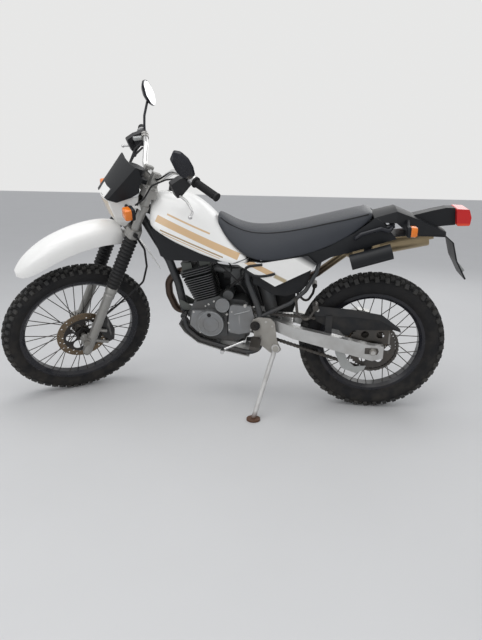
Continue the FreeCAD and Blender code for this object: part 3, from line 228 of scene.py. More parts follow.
def mottle_group() -> NodeGroup:
    """Broad clouds and fine grain, for colour variation and bump.

    Returns:
        The group.
    """
    group = NodeGroup("mottle", ("Clouds", "Grain"), Broad=9.0, Fine=260.0)
    entry = group.entry
    group.give("Clouds", group.node("TexNoise", in0=entry["Vector"], in2=entry["Broad"], in3=3.0))
    group.give("Grain", group.node("TexNoise", in0=entry["Vector"], in2=entry["Fine"], in3=2.0))
    return group


def grime_group() -> NodeGroup:
    """Road dust that thickens towards the ground, broken up by clouds.

    Returns:
        The group.
    """
    group = NodeGroup("grime", ("Mask",), Top=0.7, Amount=0.5)
    entry = group.entry
    height = add_node(group.tree, "SeparateXYZ", in0=entry["Vector"]).outputs["Z"]
    low = group.node("MapRange", in0=height, in1=0.0, in2=entry["Top"], in3=1.0, in4=0.0)
    noise = group.node("TexNoise", in0=entry["Vector"], in2=22.0, in3=5.0)
    patch = group.node("MapRange", in0=noise, in1=0.38, in2=0.68)
    group.give("Mask", group.calculate("MULTIPLY", group.calculate("MULTIPLY", low, patch), entry["Amount"]))
    return group


def scratch_group() -> NodeGroup:
    """Sparse fine scratches and chips.

    Returns:
        The group.
    """
    group = NodeGroup("scratches", ("Mask",), Scale=60.0, Amount=0.5)
    squeeze = group.node("Mapping", in0=group.entry["Vector"], in3=(1.0, 0.35, 0.12))
    noise = group.node("TexNoise", in0=squeeze, in2=group.entry["Scale"], in3=6.0)
    edge = group.node("MapRange", in0=noise, in1=0.66, in2=0.74)
    group.give("Mask", group.calculate("MULTIPLY", edge, group.entry["Amount"]))
    return group


def stripe_group() -> NodeGroup:
    """A straight band across the bike's side: its normal, its offset, half its width and its two ends.

    Returns:
        The group.
    """
    group = NodeGroup("stripe", ("Mask",), Normal=(0.0, 0.0, 1.0), Along=(1.0, 0.0, 0.0), Offset=0.0, Half=5.0,
                      Start=-1000.0, End=2000.0, Soft=0.8)
    entry = group.entry
    gap = group.calculate("SUBTRACT", group.dot(entry["Vector"], entry["Normal"]), entry["Offset"])
    inside = group.calculate("SUBTRACT", entry["Half"], group.node("Math", operation="ABSOLUTE", in0=gap))
    run = group.dot(entry["Vector"], entry["Along"])
    first = group.calculate("SUBTRACT", run, entry["Start"])
    last = group.calculate("SUBTRACT", entry["End"], run)
    least = group.calculate("MINIMUM", group.calculate("MINIMUM", first, last), inside)
    group.give("Mask", group.node("MapRange", in0=least, in1=0.0, in2=entry["Soft"]))
    return group


@dataclass(frozen=True)
class Finish:
    """A plain finish with colour variation, grain, dust and scratches."""

    name: str
    colour: Colour
    rough: float = 0.5
    metal: float = 0.0
    coat: float = 0.0
    broad: float = 9.0
    fine: float = 260.0
    clouds: float = 0.15
    bump: float = 0.1
    grime: float = 0.25
    grime_top: float = 0.7
    grime_colour: Colour = (0.16, 0.13, 0.10)
    shine: float = 0.5
    worn: float = 0.0
    worn_colour: Colour = (0.45, 0.44, 0.42)
    rough_spread: float = 0.08
    dust_rough: float = 0.9


@dataclass(frozen=True)
class Band:
    """A straight painted band, given by two (x, z) points of its middle line on the upright bike."""

    colour: Colour
    start: Pair
    end: Pair
    half: float
    soft: float = 0.8


class Coat:
    """A material in the making: its tree, its shader and its object coordinates."""

    def __init__(self, name: str, groups: dict[str, NodeGroup]) -> None:
        """Starts the material.

        Args:
            name: The material's name.
            groups: The shared node groups.
        """
        self.material = bpy.data.materials.new(name)
        self.material.use_nodes = True
        self.groups = groups
        self.tree = self.material.node_tree
        self.shader = self.tree.nodes["Principled BSDF"].inputs
        self.vector = self.node("TexCoord").outputs["Object"]

    def node(self, kind: str, **values: object) -> Node:
        """Adds a node as add_node does."""
        return add_node(self.tree, kind, **values)

    def feed(self, label: str, value: Socket) -> None:
        """Links a value to one of the shader's inputs."""
        self.tree.links.new(value, self.shader[label])

    def blend(self, share: object, under: object, over: object, **values: object) -> Socket:
        """Mixes two colours, each a socket or a plain colour.

        Args:
            share: How much the second colour counts.
            under: The first colour.
            over: The second colour.
            values: Further properties of the node.

        Returns:
            The mixed colour.
        """
        under, over = [c + (1,) if isinstance(c, tuple) else c for c in (under, over)]
        return self.node("Mix", data_type="RGBA", **values, in0=share, in6=under, in7=over).outputs[2]

    def place(self, group: str, vector: Socket | None = None, **values: object) -> Node:
        """Places a shared group.

        Args:
            group: The group's name.
            vector: The coordinates that it reads, or None for the object's.
            values: Its other inputs by name.

        Returns:
            The group node.
        """
        node = self.tree.nodes.new("ShaderNodeGroup")
        node.node_tree = self.groups[group].tree
        self.tree.links.new(vector or self.vector, node.inputs["Vector"])
        for label, value in values.items():
            node.inputs[label].default_value = value
        return node

    def upright(self, place: Matrix) -> Socket:
        """Turns object coordinates back into a carrier's own.

        Args:
            place: Matrix from the carrier's axes to the parked bike.

        Returns:
            The turned coordinates, in millimetres.
        """
        shift, turn, scale = place.inverted().decompose()
        return self.node("Mapping", in0=self.vector, in1=tuple(shift), in2=tuple(turn.to_euler()),
                         in3=tuple(scale)).outputs[0]

    def dress(self, finish: Finish, colour: Socket | None = None) -> None:
        """Feeds the shader from a finish.

        Args:
            finish: The finish.
            colour: A painted colour that takes the place of the finish's own, or None.
        """
        mottle = self.place("mottle", Broad=finish.broad, Fine=finish.fine)
        clouds = mottle.outputs["Clouds"]
        dark = tuple(c * (1 - finish.clouds) for c in finish.colour)
        light = tuple(min(1.0, c * (1 + finish.clouds)) for c in finish.colour)
        shade = self.blend(clouds, dark, light)
        if colour is not None:
            tone = self.node("MapRange", in0=clouds, in3=1 - finish.clouds, in4=1.0).outputs[0]
            shade = self.blend(1.0, colour, tone, blend_type="MULTIPLY")
        if finish.worn > 0:
            worn = self.place("scratches", Amount=finish.worn)
            shade = self.blend(worn.outputs[0], shade, finish.worn_colour)
        rough = self.node("MapRange", in0=clouds, in3=max(0.02, finish.rough - finish.rough_spread),
                          in4=min(1.0, finish.rough + finish.rough_spread)).outputs[0]
        if finish.grime > 0:
            dust = self.place("grime", Top=finish.grime_top, Amount=finish.grime).outputs[0]
            shade = self.blend(dust, shade, finish.grime_colour)
            rough = self.node("Mix", data_type="FLOAT", in0=dust, in2=rough, in3=finish.dust_rough).outputs[0]
        self.feed("Base Color", shade)
        self.feed("Roughness", rough)
        self.shader["Metallic"].default_value = finish.metal
        self.shader["Coat Weight"].default_value = finish.coat
        self.shader["Specular IOR Level"].default_value = finish.shine
        if finish.bump > 0:
            bump = self.node("Bump", in0=finish.bump, in1=0.001)
            self.tree.links.new(mottle.outputs["Grain"], bump.inputs["Height"])
            self.feed("Normal", bump.outputs[0])


class PaintShop:
    """Builds each finish once and keeps it by name."""

    def __init__(self, stance: Stance) -> None:
        """Makes the shared node groups.

        Args:
            stance: The parked stance, for patterns that follow the upright bike.
        """
        self.stance = stance
        self.made: dict[str, Material] = {}
        self.groups = {"mottle": mottle_group(), "grime": grime_group(), "scratches": scratch_group(),
                       "stripe": stripe_group()}

    def blank(self, name: str) -> Coat:
        """Starts a material and keeps it by its name.

        Args:
            name: The material's name.

        Returns:
            The coat.
        """
        coat = Coat(name, self.groups)
        self.made[name] = coat.material
        return coat

    def get(self, finish: Finish) -> Material:
        """The material of a plain finish, built at first use.

        Args:
            finish: The finish.

        Returns:
            Its material.
        """
        if finish.name not in self.made:
            self.blank(finish.name).dress(finish)
        return self.made[finish.name]

    def livery(self, name: str, finish: Finish, bands: tuple[Band, ...]) -> Material:
        """A finish with painted bands along the bike's side.

        Args:
            name: The material's name.
            finish: The ground coat.
            bands: The bands, the last on top.

        Returns:
            The material.
        """
        coat = self.blank(name)
        side = coat.upright(self.stance.chassis())
        colour = coat.node("RGB").outputs[0]
        colour.default_value = finish.colour + (1,)
        for band in bands:
            start, end = [Vector((x, 0, z)) for x, z in (band.start, band.end)]
            way = (end - start).normalized()
            normal = Vector((-way.z, 0, way.x))
            mask = coat.place("stripe", side, Normal=tuple(normal), Along=tuple(way), Offset=normal.dot(start),
                              Half=band.half, Start=way.dot(start), End=way.dot(end), Soft=band.soft)
            colour = coat.blend(mask.outputs[0], colour, band.colour)
        coat.dress(finish, colour)
        return coat.material

    def parted(self, name: str, place: Matrix, axis: Axis, at: float, below: Finish, above: Finish,
               soft: float) -> Material:
        """Two finishes on one piece, parted where a coordinate of its carrier passes a value.

        Args:
            name: The material's name.
            place: Matrix from the carrier's axes to the parked bike.
            axis: The coordinate; Y counts on both sides alike.
            at: The value, in millimetres.
            below: The finish on its lower side.
            above: The finish on its upper side.
            soft: Width of the change.

        Returns:
            The material.
        """
        coat = self.blank(name)
        point = coat.upright(place)
        if axis is Axis.RADIUS:
            flat = coat.node("VectorMath", operation="MULTIPLY", in0=point, in1=(1.0, 0.0, 1.0)).outputs[0]
            value = coat.node("VectorMath", operation="LENGTH", in0=flat).outputs["Value"]
        else:
            value = coat.node("SeparateXYZ", in0=point).outputs[axis.value]
        if axis is Axis.Y:
            value = coat.node("Math", operation="ABSOLUTE", in0=value).outputs[0]
        mask = coat.node("MapRange", in0=value, in1=at - soft / 2, in2=at + soft / 2).outputs[0]
        coat.dress(below, coat.blend(mask, below.colour, above.colour))
        coat.feed("Metallic", coat.node("MapRange", in0=mask, in3=below.metal, in4=above.metal).outputs[0])
        return coat.material


GLOSS_WHITE = Finish("gloss_white", (0.86, 0.855, 0.83), rough=0.22, coat=0.4, clouds=0.03, bump=0.0, grime=0.15,
                     grime_colour=(0.42, 0.36, 0.26))
BLACK_PLASTIC = Finish("black_plastic", (0.010, 0.011, 0.013), rough=0.46, clouds=0.3, fine=900.0, bump=0.12,
                       grime=0.25, shine=0.3)
VINYL = Finish("seat_vinyl", (0.026, 0.030, 0.038), rough=0.40, shine=0.45, clouds=0.2, fine=1100.0, bump=0.35,
               grime=0.0)
FRAME_GREY = Finish("frame_grey", (0.04, 0.042, 0.045), rough=0.38, metal=0.3, grime=0.35, worn=0.5)
BRACKET_GREY = Finish("bracket_grey", (0.36, 0.345, 0.315), rough=0.45, metal=0.35, grime=0.3, worn=0.4)
ENGINE_DARK = Finish("engine_dark", (0.022, 0.023, 0.025), rough=0.5, metal=0.3, shine=0.35, fine=500.0, bump=0.3,
                     grime=0.4)
ENGINE_SILVER = Finish("engine_silver", (0.235, 0.24, 0.245), rough=0.42, metal=0.6, fine=600.0, bump=0.15,
                       grime=0.4, worn=0.5)
CASE_GREY = Finish("case_grey", (0.085, 0.088, 0.09), rough=0.46, metal=0.5, fine=500.0, bump=0.25, grime=0.5)
ALLOY = Finish("brushed_alloy", (0.56, 0.56, 0.55), rough=0.34, metal=0.75, fine=700.0, bump=0.06, grime=0.35,
               worn=0.5, worn_colour=(0.3, 0.29, 0.27))
STEEL = Finish("zinc_steel", (0.30, 0.29, 0.27), rough=0.4, metal=0.8, grime=0.4, worn=0.5,
               worn_colour=(0.22, 0.12, 0.06))
CHROME = Finish("chrome", (0.72, 0.72, 0.72), rough=0.12, metal=1.0, clouds=0.1, bump=0.0, grime=0.15)
FORK_GREY = Finish("fork_grey", (0.33, 0.325, 0.31), rough=0.34, metal=0.65, grime=0.3, worn=0.4)
RUBBER = Finish("rubber", (0.012, 0.012, 0.013), rough=0.6, shine=0.3, clouds=0.3, fine=500.0, bump=0.15, grime=0.3)
TYRE = Finish("tyre_rubber", (0.012, 0.012, 0.013), rough=0.78, shine=0.25, clouds=0.3, fine=420.0, bump=0.25,
              grime=0.4, grime_top=0.75, grime_colour=(0.075, 0.066, 0.054))
TREAD = Finish("tread_rubber", (0.030, 0.030, 0.030), rough=0.85, clouds=0.45, broad=40.0, fine=420.0, bump=0.25,
               grime=0.4, grime_top=1.2, grime_colour=(0.10, 0.088, 0.07))
RIM_BLACK = Finish("rim_black", (0.010, 0.011, 0.016), rough=0.26, coat=0.15, grime=0.1, grime_top=0.9, shine=0.35)
SPOKE = Finish("spoke_dark", (0.06, 0.055, 0.05), rough=0.5, metal=0.7, grime=0.5, worn=0.6,
               worn_colour=(0.15, 0.08, 0.04))
DISC = Finish("disc_bronze", (0.20, 0.15, 0.10), rough=0.4, metal=0.85, broad=30.0, clouds=0.35, grime=0.4)
CARRIER = Finish("disc_carrier", (0.035, 0.034, 0.034), rough=0.45, metal=0.6, grime=0.3)
PIPE_BROWN = Finish("pipe_brown", (0.075, 0.05, 0.038), rough=0.5, metal=0.6, broad=25.0, clouds=0.45, grime=0.3)
MUFFLER_GOLD = Finish("muffler_gold", (0.42, 0.33, 0.20), rough=0.34, metal=0.75, broad=14.0, clouds=0.3, grime=0.2)
CONTROL_BLACK = Finish("control_black", (0.018, 0.018, 0.02), rough=0.4, metal=0.2, clouds=0.3, grime=0.2, worn=0.3)
# A lighter copy of the cover silver: painted highlight on the covers' raised rims and ridge.
COVER_HIGHLIGHT = Finish("cover_highlight", (0.30, 0.31, 0.315), rough=0.32, metal=0.75, grime=0.3)
BOLT = Finish("bolt_zinc", (0.55, 0.54, 0.52), rough=0.28, metal=0.9, grime=0.3, worn=0.3)
LID_GREEN = Finish("lid_paint", (0.085, 0.092, 0.084), rough=0.5, metal=0.3, grime=0.3)
LIGHT_GREY = Finish("light_grey", (0.40, 0.41, 0.40), rough=0.5, grime=0.2)
RUST = Finish("rust", (0.12, 0.055, 0.03), rough=0.8, metal=0.2)
FIN_EDGE = Finish("fin_edge", (0.11, 0.112, 0.115), rough=0.45, metal=0.5)
# Bright red-orange for the tail lamp's lower band: a painted glint.
LAMP_GLINT_RED = Finish("lamp_amber", (0.78, 0.075, 0.03), rough=0.18)
SPROCKET = Finish("sprocket_dark", (0.085, 0.08, 0.075), rough=0.45, metal=0.8, grime=0.4, worn=0.5)
ORANGE = Finish("orange_lens", (0.80, 0.20, 0.015), rough=0.2, coat=0.2, clouds=0.08, bump=0.0, grime=0.1)
RED = Finish("red_lens", (0.62, 0.014, 0.014), rough=0.42, shine=0.25, clouds=0.08, bump=0.0, grime=0.05)
GLASS = Finish("lamp_glass", (0.64, 0.55, 0.43), rough=0.08, coat=0.6, clouds=0.05, bump=0.0, grime=0.05)
MIRROR_GLASS = Finish("mirror_glass", (0.93, 0.94, 0.95), rough=0.05, metal=1.0, clouds=0.02, bump=0.0, grime=0.0)

NODES_IN: tuple[tuple[Finish, tuple[str, ...]], ...] = (
    (FRAME_GREY, ("frame",)),
    (BRACKET_GREY, ("pivot_brackets",)),
    (CASE_GREY, ("crankcase", "carburettor", "shock", "hand_controls")),
    (ENGINE_DARK, ("cylinder",)),
    (ENGINE_SILVER, ("engine_covers",)),
    (BLACK_PLASTIC, ("airbox", "filler_cap", "tank_panels", "tail_cover", "rear_fender", "tool_tube",
                     "chain_guards", "visor", "instruments")),
    (PIPE_BROWN, ("exhaust",)),
    (ALLOY, ("skid_plate", "swingarm", "rear_caliper")),
    (GLOSS_WHITE, ("fuel_tank", "side_covers", "front_fender", "cowl")),
    (VINYL, ("seat",)),
    (RIM_BLACK, ("grab_rails", "mirrors", "front_rim", "rear_rim")),
    (RED, ("tail_lamp",)),
    (ORANGE, ("rear_indicators", "front_indicators")),
    (STEEL, ("rear_axle", "front_sprocket", "chain", "front_axle")),
    (SPROCKET, ("footpegs", "rear_sprocket")),
    (CHROME, ("pedals", "handlebar", "side_stand")),
    (FORK_GREY, ("fork_clamps", "fork_legs")),
    (RUBBER, ("fork_gaiters", "grips", "brake_hose", "bar_cables")),
    (CONTROL_BLACK, ("front_caliper",)),
    (GLASS, ("headlamp",)),
    (TYRE, ("front_tyre", "rear_tyre")),
    (SPOKE, ("front_hub", "rear_hub")),
    (DISC, ("front_disc", "rear_disc")))

TAN = (0.66, 0.45, 0.25)
UMBER = (0.40, 0.28, 0.15)
OLIVE = (0.44, 0.36, 0.22)
# Dark colour of painted shade: the seat's shadow and reflection on the side covers.
PAINTED_SEAT_SHADE = (0.02, 0.021, 0.023)
JOIN = (Band((0.10, 0.10, 0.10), (547, 724), (618, 700.4), 3.4, 2.4),)
TANK_BANDS = (Band(TAN, (586, 730), (928, 888), 14.5, 1.5), Band(TAN, (706, 824), (884, 903), 4.2, 2.0),
              Band(UMBER, (650, 730), (912, 842), 3.4, 1.2), Band(TAN, (664, 726), (905, 829), 2.2, 1.2)) + JOIN
# The third cover band is painted shade: the seat's shadow and reflection fading over the covers' rear corner.
COVER_BANDS = (Band(TAN, (442, 660), (556, 717), 12.0, 1.2), Band(OLIVE, (383, 630), (437, 657), 11.5, 6.0),
               Band(PAINTED_SEAT_SHADE, (150, 702), (440, 865), 76.0, 26.0)) + JOIN


# Making and placing pieces


def calm() -> None:
    """Deselects everything."""
    bpy.ops.object.select_all(action="DESELECT")


def newest() -> Piece:
    """The object that the last operator added."""
    return bpy.context.view_layer.objects.active


def work_on(piece: Piece) -> None:
    """Selects one piece alone and makes it active.

    Args:
        piece: The piece.
    """
    calm()
    piece.select_set(True)
    bpy.context.view_layer.objects.active = piece


def stand(name: str, data: bpy.types.ID) -> Piece:
    """Stands new data in the scene, selected alone.

    Args:
        name: The object's name.
        data: Its mesh, curve, lamp or camera.

    Returns:
        The new object.
    """
    piece = bpy.data.objects.new(name, data)
    bpy.context.scene.collection.objects.link(piece)
    work_on(piece)
    return piece


def shade(piece: Piece, degrees: float) -> None:
    """Shades a piece smooth, apart from its sharp edges.

    Args:
        piece: The piece.
        degrees: The angle from which an edge is sharp.
    """
    work_on(piece)
    bpy.ops.object.shade_smooth_by_angle(angle=math.radians(degrees))


def turn_outwards(piece: Piece, merge: float = 0.0) -> None:
    """Points a piece's faces outwards.

    Args:
        piece: The piece.
        merge: The gap up to which doubled points are merged first, or 0.
    """
    work_on(piece)
    bpy.ops.object.mode_set(mode="EDIT")
    bpy.ops.mesh.select_all(action="SELECT")
    if merge:
        bpy.ops.mesh.remove_doubles(threshold=merge)
    bpy.ops.mesh.normals_make_consistent(inside=False)
    bpy.ops.object.mode_set(mode="OBJECT")


def welded(parts: list[Piece]) -> Mesh:
    """Joins pieces and takes them out of the scene.

    Args:
        parts: The pieces.

    Returns:
        Their common mesh.
    """
    work_on(parts[0])
    for part in parts:
        part.select_set(True)
    bpy.ops.object.join()
    whole = newest()
    mesh = whole.data.copy()
    bpy.data.objects.remove(whole)
    return mesh


def from_rows(name: str, rows: list[list[Point]], ring: bool = False, caps: bool = False) -> Piece:
    """A sheet of quads through rows of points.

    Args:
        name: The piece's name.
        rows: Rows of points, all of one length.
        ring: Whether each row closes on itself.
        caps: Whether the first and last rows are filled.

    Returns:
        The new piece.
    """
    count = len(rows[0])
    points = [p for row in rows for p in row]
    faces = []
    for i in range(len(rows) - 1):
        for j in range(count if ring else count - 1):
            k = (j + 1) % count
            faces.append((i * count + j, i * count + k, (i + 1) * count + k, (i + 1) * count + j))
    if caps:
        faces.append(tuple(range(count)))
        faces.append(tuple(reversed([(len(rows) - 1) * count + j for j in range(count)])))
    mesh = bpy.data.meshes.new(name)
    mesh.from_pydata(points, [], faces)
    piece = stand(name, mesh)
    turn_outwards(piece)
    return piece


def refine(piece: Piece, levels: int = 2, wall: float = 0.0, edge: float = 0.0) -> None:
    """Smooths a sheet, gives it a wall and rounds its rims, all applied.

    Args:
        piece: The sheet.
        levels: Subdivision levels.
        wall: Wall thickness in millimetres, inwards, or 0 for a closed form.
        edge: Width of the rounding at the rims.
    """
    if levels:
        smooth = piece.modifiers.new("smooth", "SUBSURF")
        smooth.levels = smooth.render_levels = levels
    if wall:
        solid = piece.modifiers.new("wall", "SOLIDIFY")
        solid.thickness = wall
        solid.offset = -1.0
    if edge:
        bevel = piece.modifiers.new("rim", "BEVEL")
        bevel.width = edge
        bevel.segments = 2
        bevel.angle_limit = math.radians(50)
    work_on(piece)
    for modifier in list(piece.modifiers):
        bpy.ops.object.modifier_apply(modifier=modifier.name)
    shade(piece, 40)


def stamped(name: str, source: Mesh, places: list[Matrix]) -> Piece:
    """One piece that holds a copy of a mesh at each place.

    Args:
        name: The piece's name.
        source: The mesh to repeat.
        places: A matrix for each copy.

    Returns:
        The new piece.
    """
    points = [v.co.copy() for v in source.vertices]
    polygons = [tuple(p.vertices) for p in source.polygons]
    vertices = []
    faces = []
    for place in places:
        first = len(vertices)
        vertices += [place @ p for p in points]
        faces += [tuple(first + i for i in polygon) for polygon in polygons]
    mesh = bpy.data.meshes.new(name)
    mesh.from_pydata(vertices, [], faces)
    return stand(name, mesh)


@dataclass
class Workshop:
    """What every sub-assembly needs: the frame's nodes, the stance, the finishes and a way to settle a piece."""

    nodes: dict[str, Piece]
    stance: Stance
    paint: PaintShop
    pieces: list[str] = field(default_factory=list)

    def settle(self, piece: Piece, place: Matrix, body: Body, finish: Finish | Material,
               slot: Slot, *nodes: str) -> None:
        """Puts a piece's place into its mesh, dresses it and hands it to its body.

        Args:
            piece: The piece, modelled in millimetres.
            place: Matrix from its own axes to the parked bike.
            body: The body that it rides on.
            finish: Its finish or material.
            slot: The record's material slot; not used.
            nodes: The CAD nodes that it stands for.
        """
        piece.data.transform(place @ piece.matrix_world)
        piece.matrix_world = Matrix.Identity(4)
        self.coat(piece, finish)
        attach(piece, body.value)
        if nodes:
            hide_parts(*nodes)
        self.pieces.append(piece.name)
        LOG.info("%s: %d faces, on %s", piece.name, len(piece.data.polygons), body.value)

    def coat(self, piece: Piece, finish: Finish | Material) -> None:
        """Gives a piece one material.

        Args:
            piece: The piece.
            finish: Its finish or material.
        """
        piece.data.materials.clear()
        piece.data.materials.append(self.paint.get(finish) if isinstance(finish, Finish) else finish)


def tube(name: str, points: Sequence[Point], radius: float, smooth: bool = True) -> Piece:
    """A round cord or bar through points.

    Args:
        name: The piece's name.
        points: The points of its middle line.
        radius: Its radius.
        smooth: Whether it bends smoothly between the points.

    Returns:
        The new piece, as a mesh.
    """
    curve = bpy.data.curves.new(name, "CURVE")
    curve.dimensions = "3D"
    curve.bevel_depth = radius
    curve.bevel_resolution = 3
    curve.use_fill_caps = True
    line = curve.splines.new("BEZIER" if smooth else "POLY")
    if smooth:
        line.bezier_points.add(len(points) - 1)
        for knot, point in zip(line.bezier_points, points):
            knot.co = point
            knot.handle_left_type = knot.handle_right_type = "AUTO"
        line.resolution_u = 8
    else:
        line.points.add(len(points) - 1)
        for knot, point in zip(line.points, points):
            knot.co = (*point, 1.0)
    piece = stand(name, curve)
    bpy.ops.object.convert(target="MESH")
    shade(piece, 50)
    return piece


def plate(name: str, outline: Outline, y: float, thick: float, edge: float = 1.0) -> Piece:
    """A flat plate across the bike's side.

    Args:
        name: The piece's name.
        outline: Its (x, z) corners.
        y: Where it starts.
        thick: Its thickness, towards the left when positive.
        edge: Rounding of its rims.

    Returns:
        The new piece.
    """
    rows = [[(x, reach, z) for x, z in outline] for reach in (y, y + thick)]
    piece = from_rows(name, rows, ring=True, caps=True)
    refine(piece, 0, edge=edge)
    return piece


def turned(name: str, profile: Outline, steps: int = 32) -> Piece:
    """A profile of (radius, along) points turned about the Z axis.

    Args:
        name: The piece's name.
        profile: The profile.
        steps: Steps round the axis.

    Returns:
        The new piece.
    """
    angles = [math.tau * i / steps for i in range(steps)]
    rows = [[(r * math.cos(angle), r * math.sin(angle), z) for r, z in profile] for angle in angles]
    piece = from_rows(name, rows + rows[:1])
    turn_outwards(piece, 0.001)
    shade(piece, 35)
    return piece


def box(name: str, centre: Point, size: Point, edge: float) -> Piece:
    """A box with rounded rims.

    Args:
        name: The piece's name.
        centre: Its middle.
        size: Its three widths.
        edge: Rounding of its rims.

    Returns:
        The new piece.
    """
    calm()
    bpy.ops.mesh.primitive_cube_add(size=1.0, location=centre)
    piece = newest()
    piece.name = name
    piece.scale = size
    bpy.ops.object.transform_apply(location=True, rotation=False, scale=True)
    refine(piece, 0, edge=edge)
    return piece


def pin(sides: int, radius: float, depth: float, middle: Point, turn: Point = (0.0, 0.0, 0.0)) -> Piece:
    """A round or many-sided pin.

    Args:
        sides: Its sides.
        radius: Its radius.
        depth: Its length.
        middle: Its middle.
        turn: Its turn about the three axes, in radians.

    Returns:
        The new piece.
    """
    calm()
    bpy.ops.mesh.primitive_cylinder_add(vertices=sides, radius=radius, depth=depth, location=middle, rotation=turn)
    return newest()


def along(start: Vector, end: Vector) -> Matrix:
    """Matrix that lays the Z axis from one point towards another."""
    way = (end - start).normalized()
    return Matrix.Translation(start) @ way.to_track_quat("Z", "Y").to_matrix().to_4x4()


# Kinds of small pieces


@dataclass(frozen=True)
class Panel:
    """A flat plate on the chassis, on one side or on both."""

    name: str
    outline: Outline
    y: float
    thick: float
    edge: float
    finish: Finish
    slot: Slot
    both: bool = True

    def build(self, shop: Workshop) -> None:
        """Makes the plate.

        Args:
            shop: The workshop.
        """
        for side, label in SIDES if self.both else SIDES[:1]:
            name = self.name + "_" + label if self.both else self.name
            piece = plate(name, self.outline, side * self.y, side * self.thick, self.edge)
            shop.settle(piece, shop.stance.chassis(), Body.CHASSIS, self.finish, self.slot)


@dataclass(frozen=True)
class Cord:
    """A hose, cable or raised strip on the chassis."""

    name: str
    points: Sequence[Point]
    radius: float

    def build(self, shop: Workshop, finish: Finish, slot: Slot) -> None:
        """Makes the cord.

        Args:
            shop: The workshop.
            finish: Its finish.
            slot: The record's material slot.
        """
        piece = tube(self.name, self.points, self.radius)
        shop.settle(piece, shop.stance.chassis(), Body.CHASSIS, finish, slot)


@dataclass(frozen=True)
class Seats:
    """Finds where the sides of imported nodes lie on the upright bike, so that small pieces sit on them."""

    place: Matrix
    carriers: tuple[Piece, ...]
    reach: float = 400.0

    def on_side(self, x: float, z: float, side: int, lift: float = 0.0) -> Matrix:
        """Where a line across the bike first meets a node, coming from one side.

        Args:
            x: Place along the bike.
            z: Height.
            side: 1 from the left, -1 from the right.
            lift: How far above the surface.

        Returns:
            The place, with the Z axis pointing outwards across the bike.
        """
        start = self.place @ Vector((x, side * self.reach, z))
        way = (self.place @ Vector((x, 0.0, z)) - start).normalized()
        gaps = []
        for carrier in self.carriers:
            back = carrier.matrix_world.inverted()
            hit, point, _, _ = carrier.ray_cast(back @ start, (back.to_3x3() @ way).normalized())
            if hit:
                gaps.append((carrier.matrix_world @ point - start).length * 1000.0)
        y = side * (self.reach - min(gaps) + lift) if gaps else 0.0
        return Matrix.Translation((x, y, z)) @ tipped(-90 * side, Axis.X)


@dataclass(frozen=True)
class Bolts:
    """Hexagon heads on washers, seated on the sides of nodes of the chassis."""

    name: str
    nodes: tuple[str, ...]
    # columns: x, z, radius of the head; side
    rows: tuple[tuple[float, float, float, int], ...]
    twist: float = 0.7

    def build(self, shop: Workshop) -> None:
        """Makes the bolts.

        Args:
            shop: The workshop.
        """
        source = welded([pin(6, 1.0, 1.1, (0, 0, 0.65)), pin(20, 1.35, 0.25, (0, 0, 0.05))])
        seats = Seats(shop.stance.chassis(), tuple(shop.nodes[node] for node in self.nodes))
        places = []
        for i, (x, z, r, side) in enumerate(self.rows):
            turn = Matrix.Rotation(self.twist * i, 4, "Z")
            places.append(seats.on_side(x, z, side) @ turn @ Matrix.Diagonal((r, r, r, 1.0)))
        bolts = stamped(self.name, source, places)
        shade(bolts, 30)
        shop.settle(bolts, shop.stance.chassis(), Body.CHASSIS, BOLT, Slot.STEEL)


# Bodywork


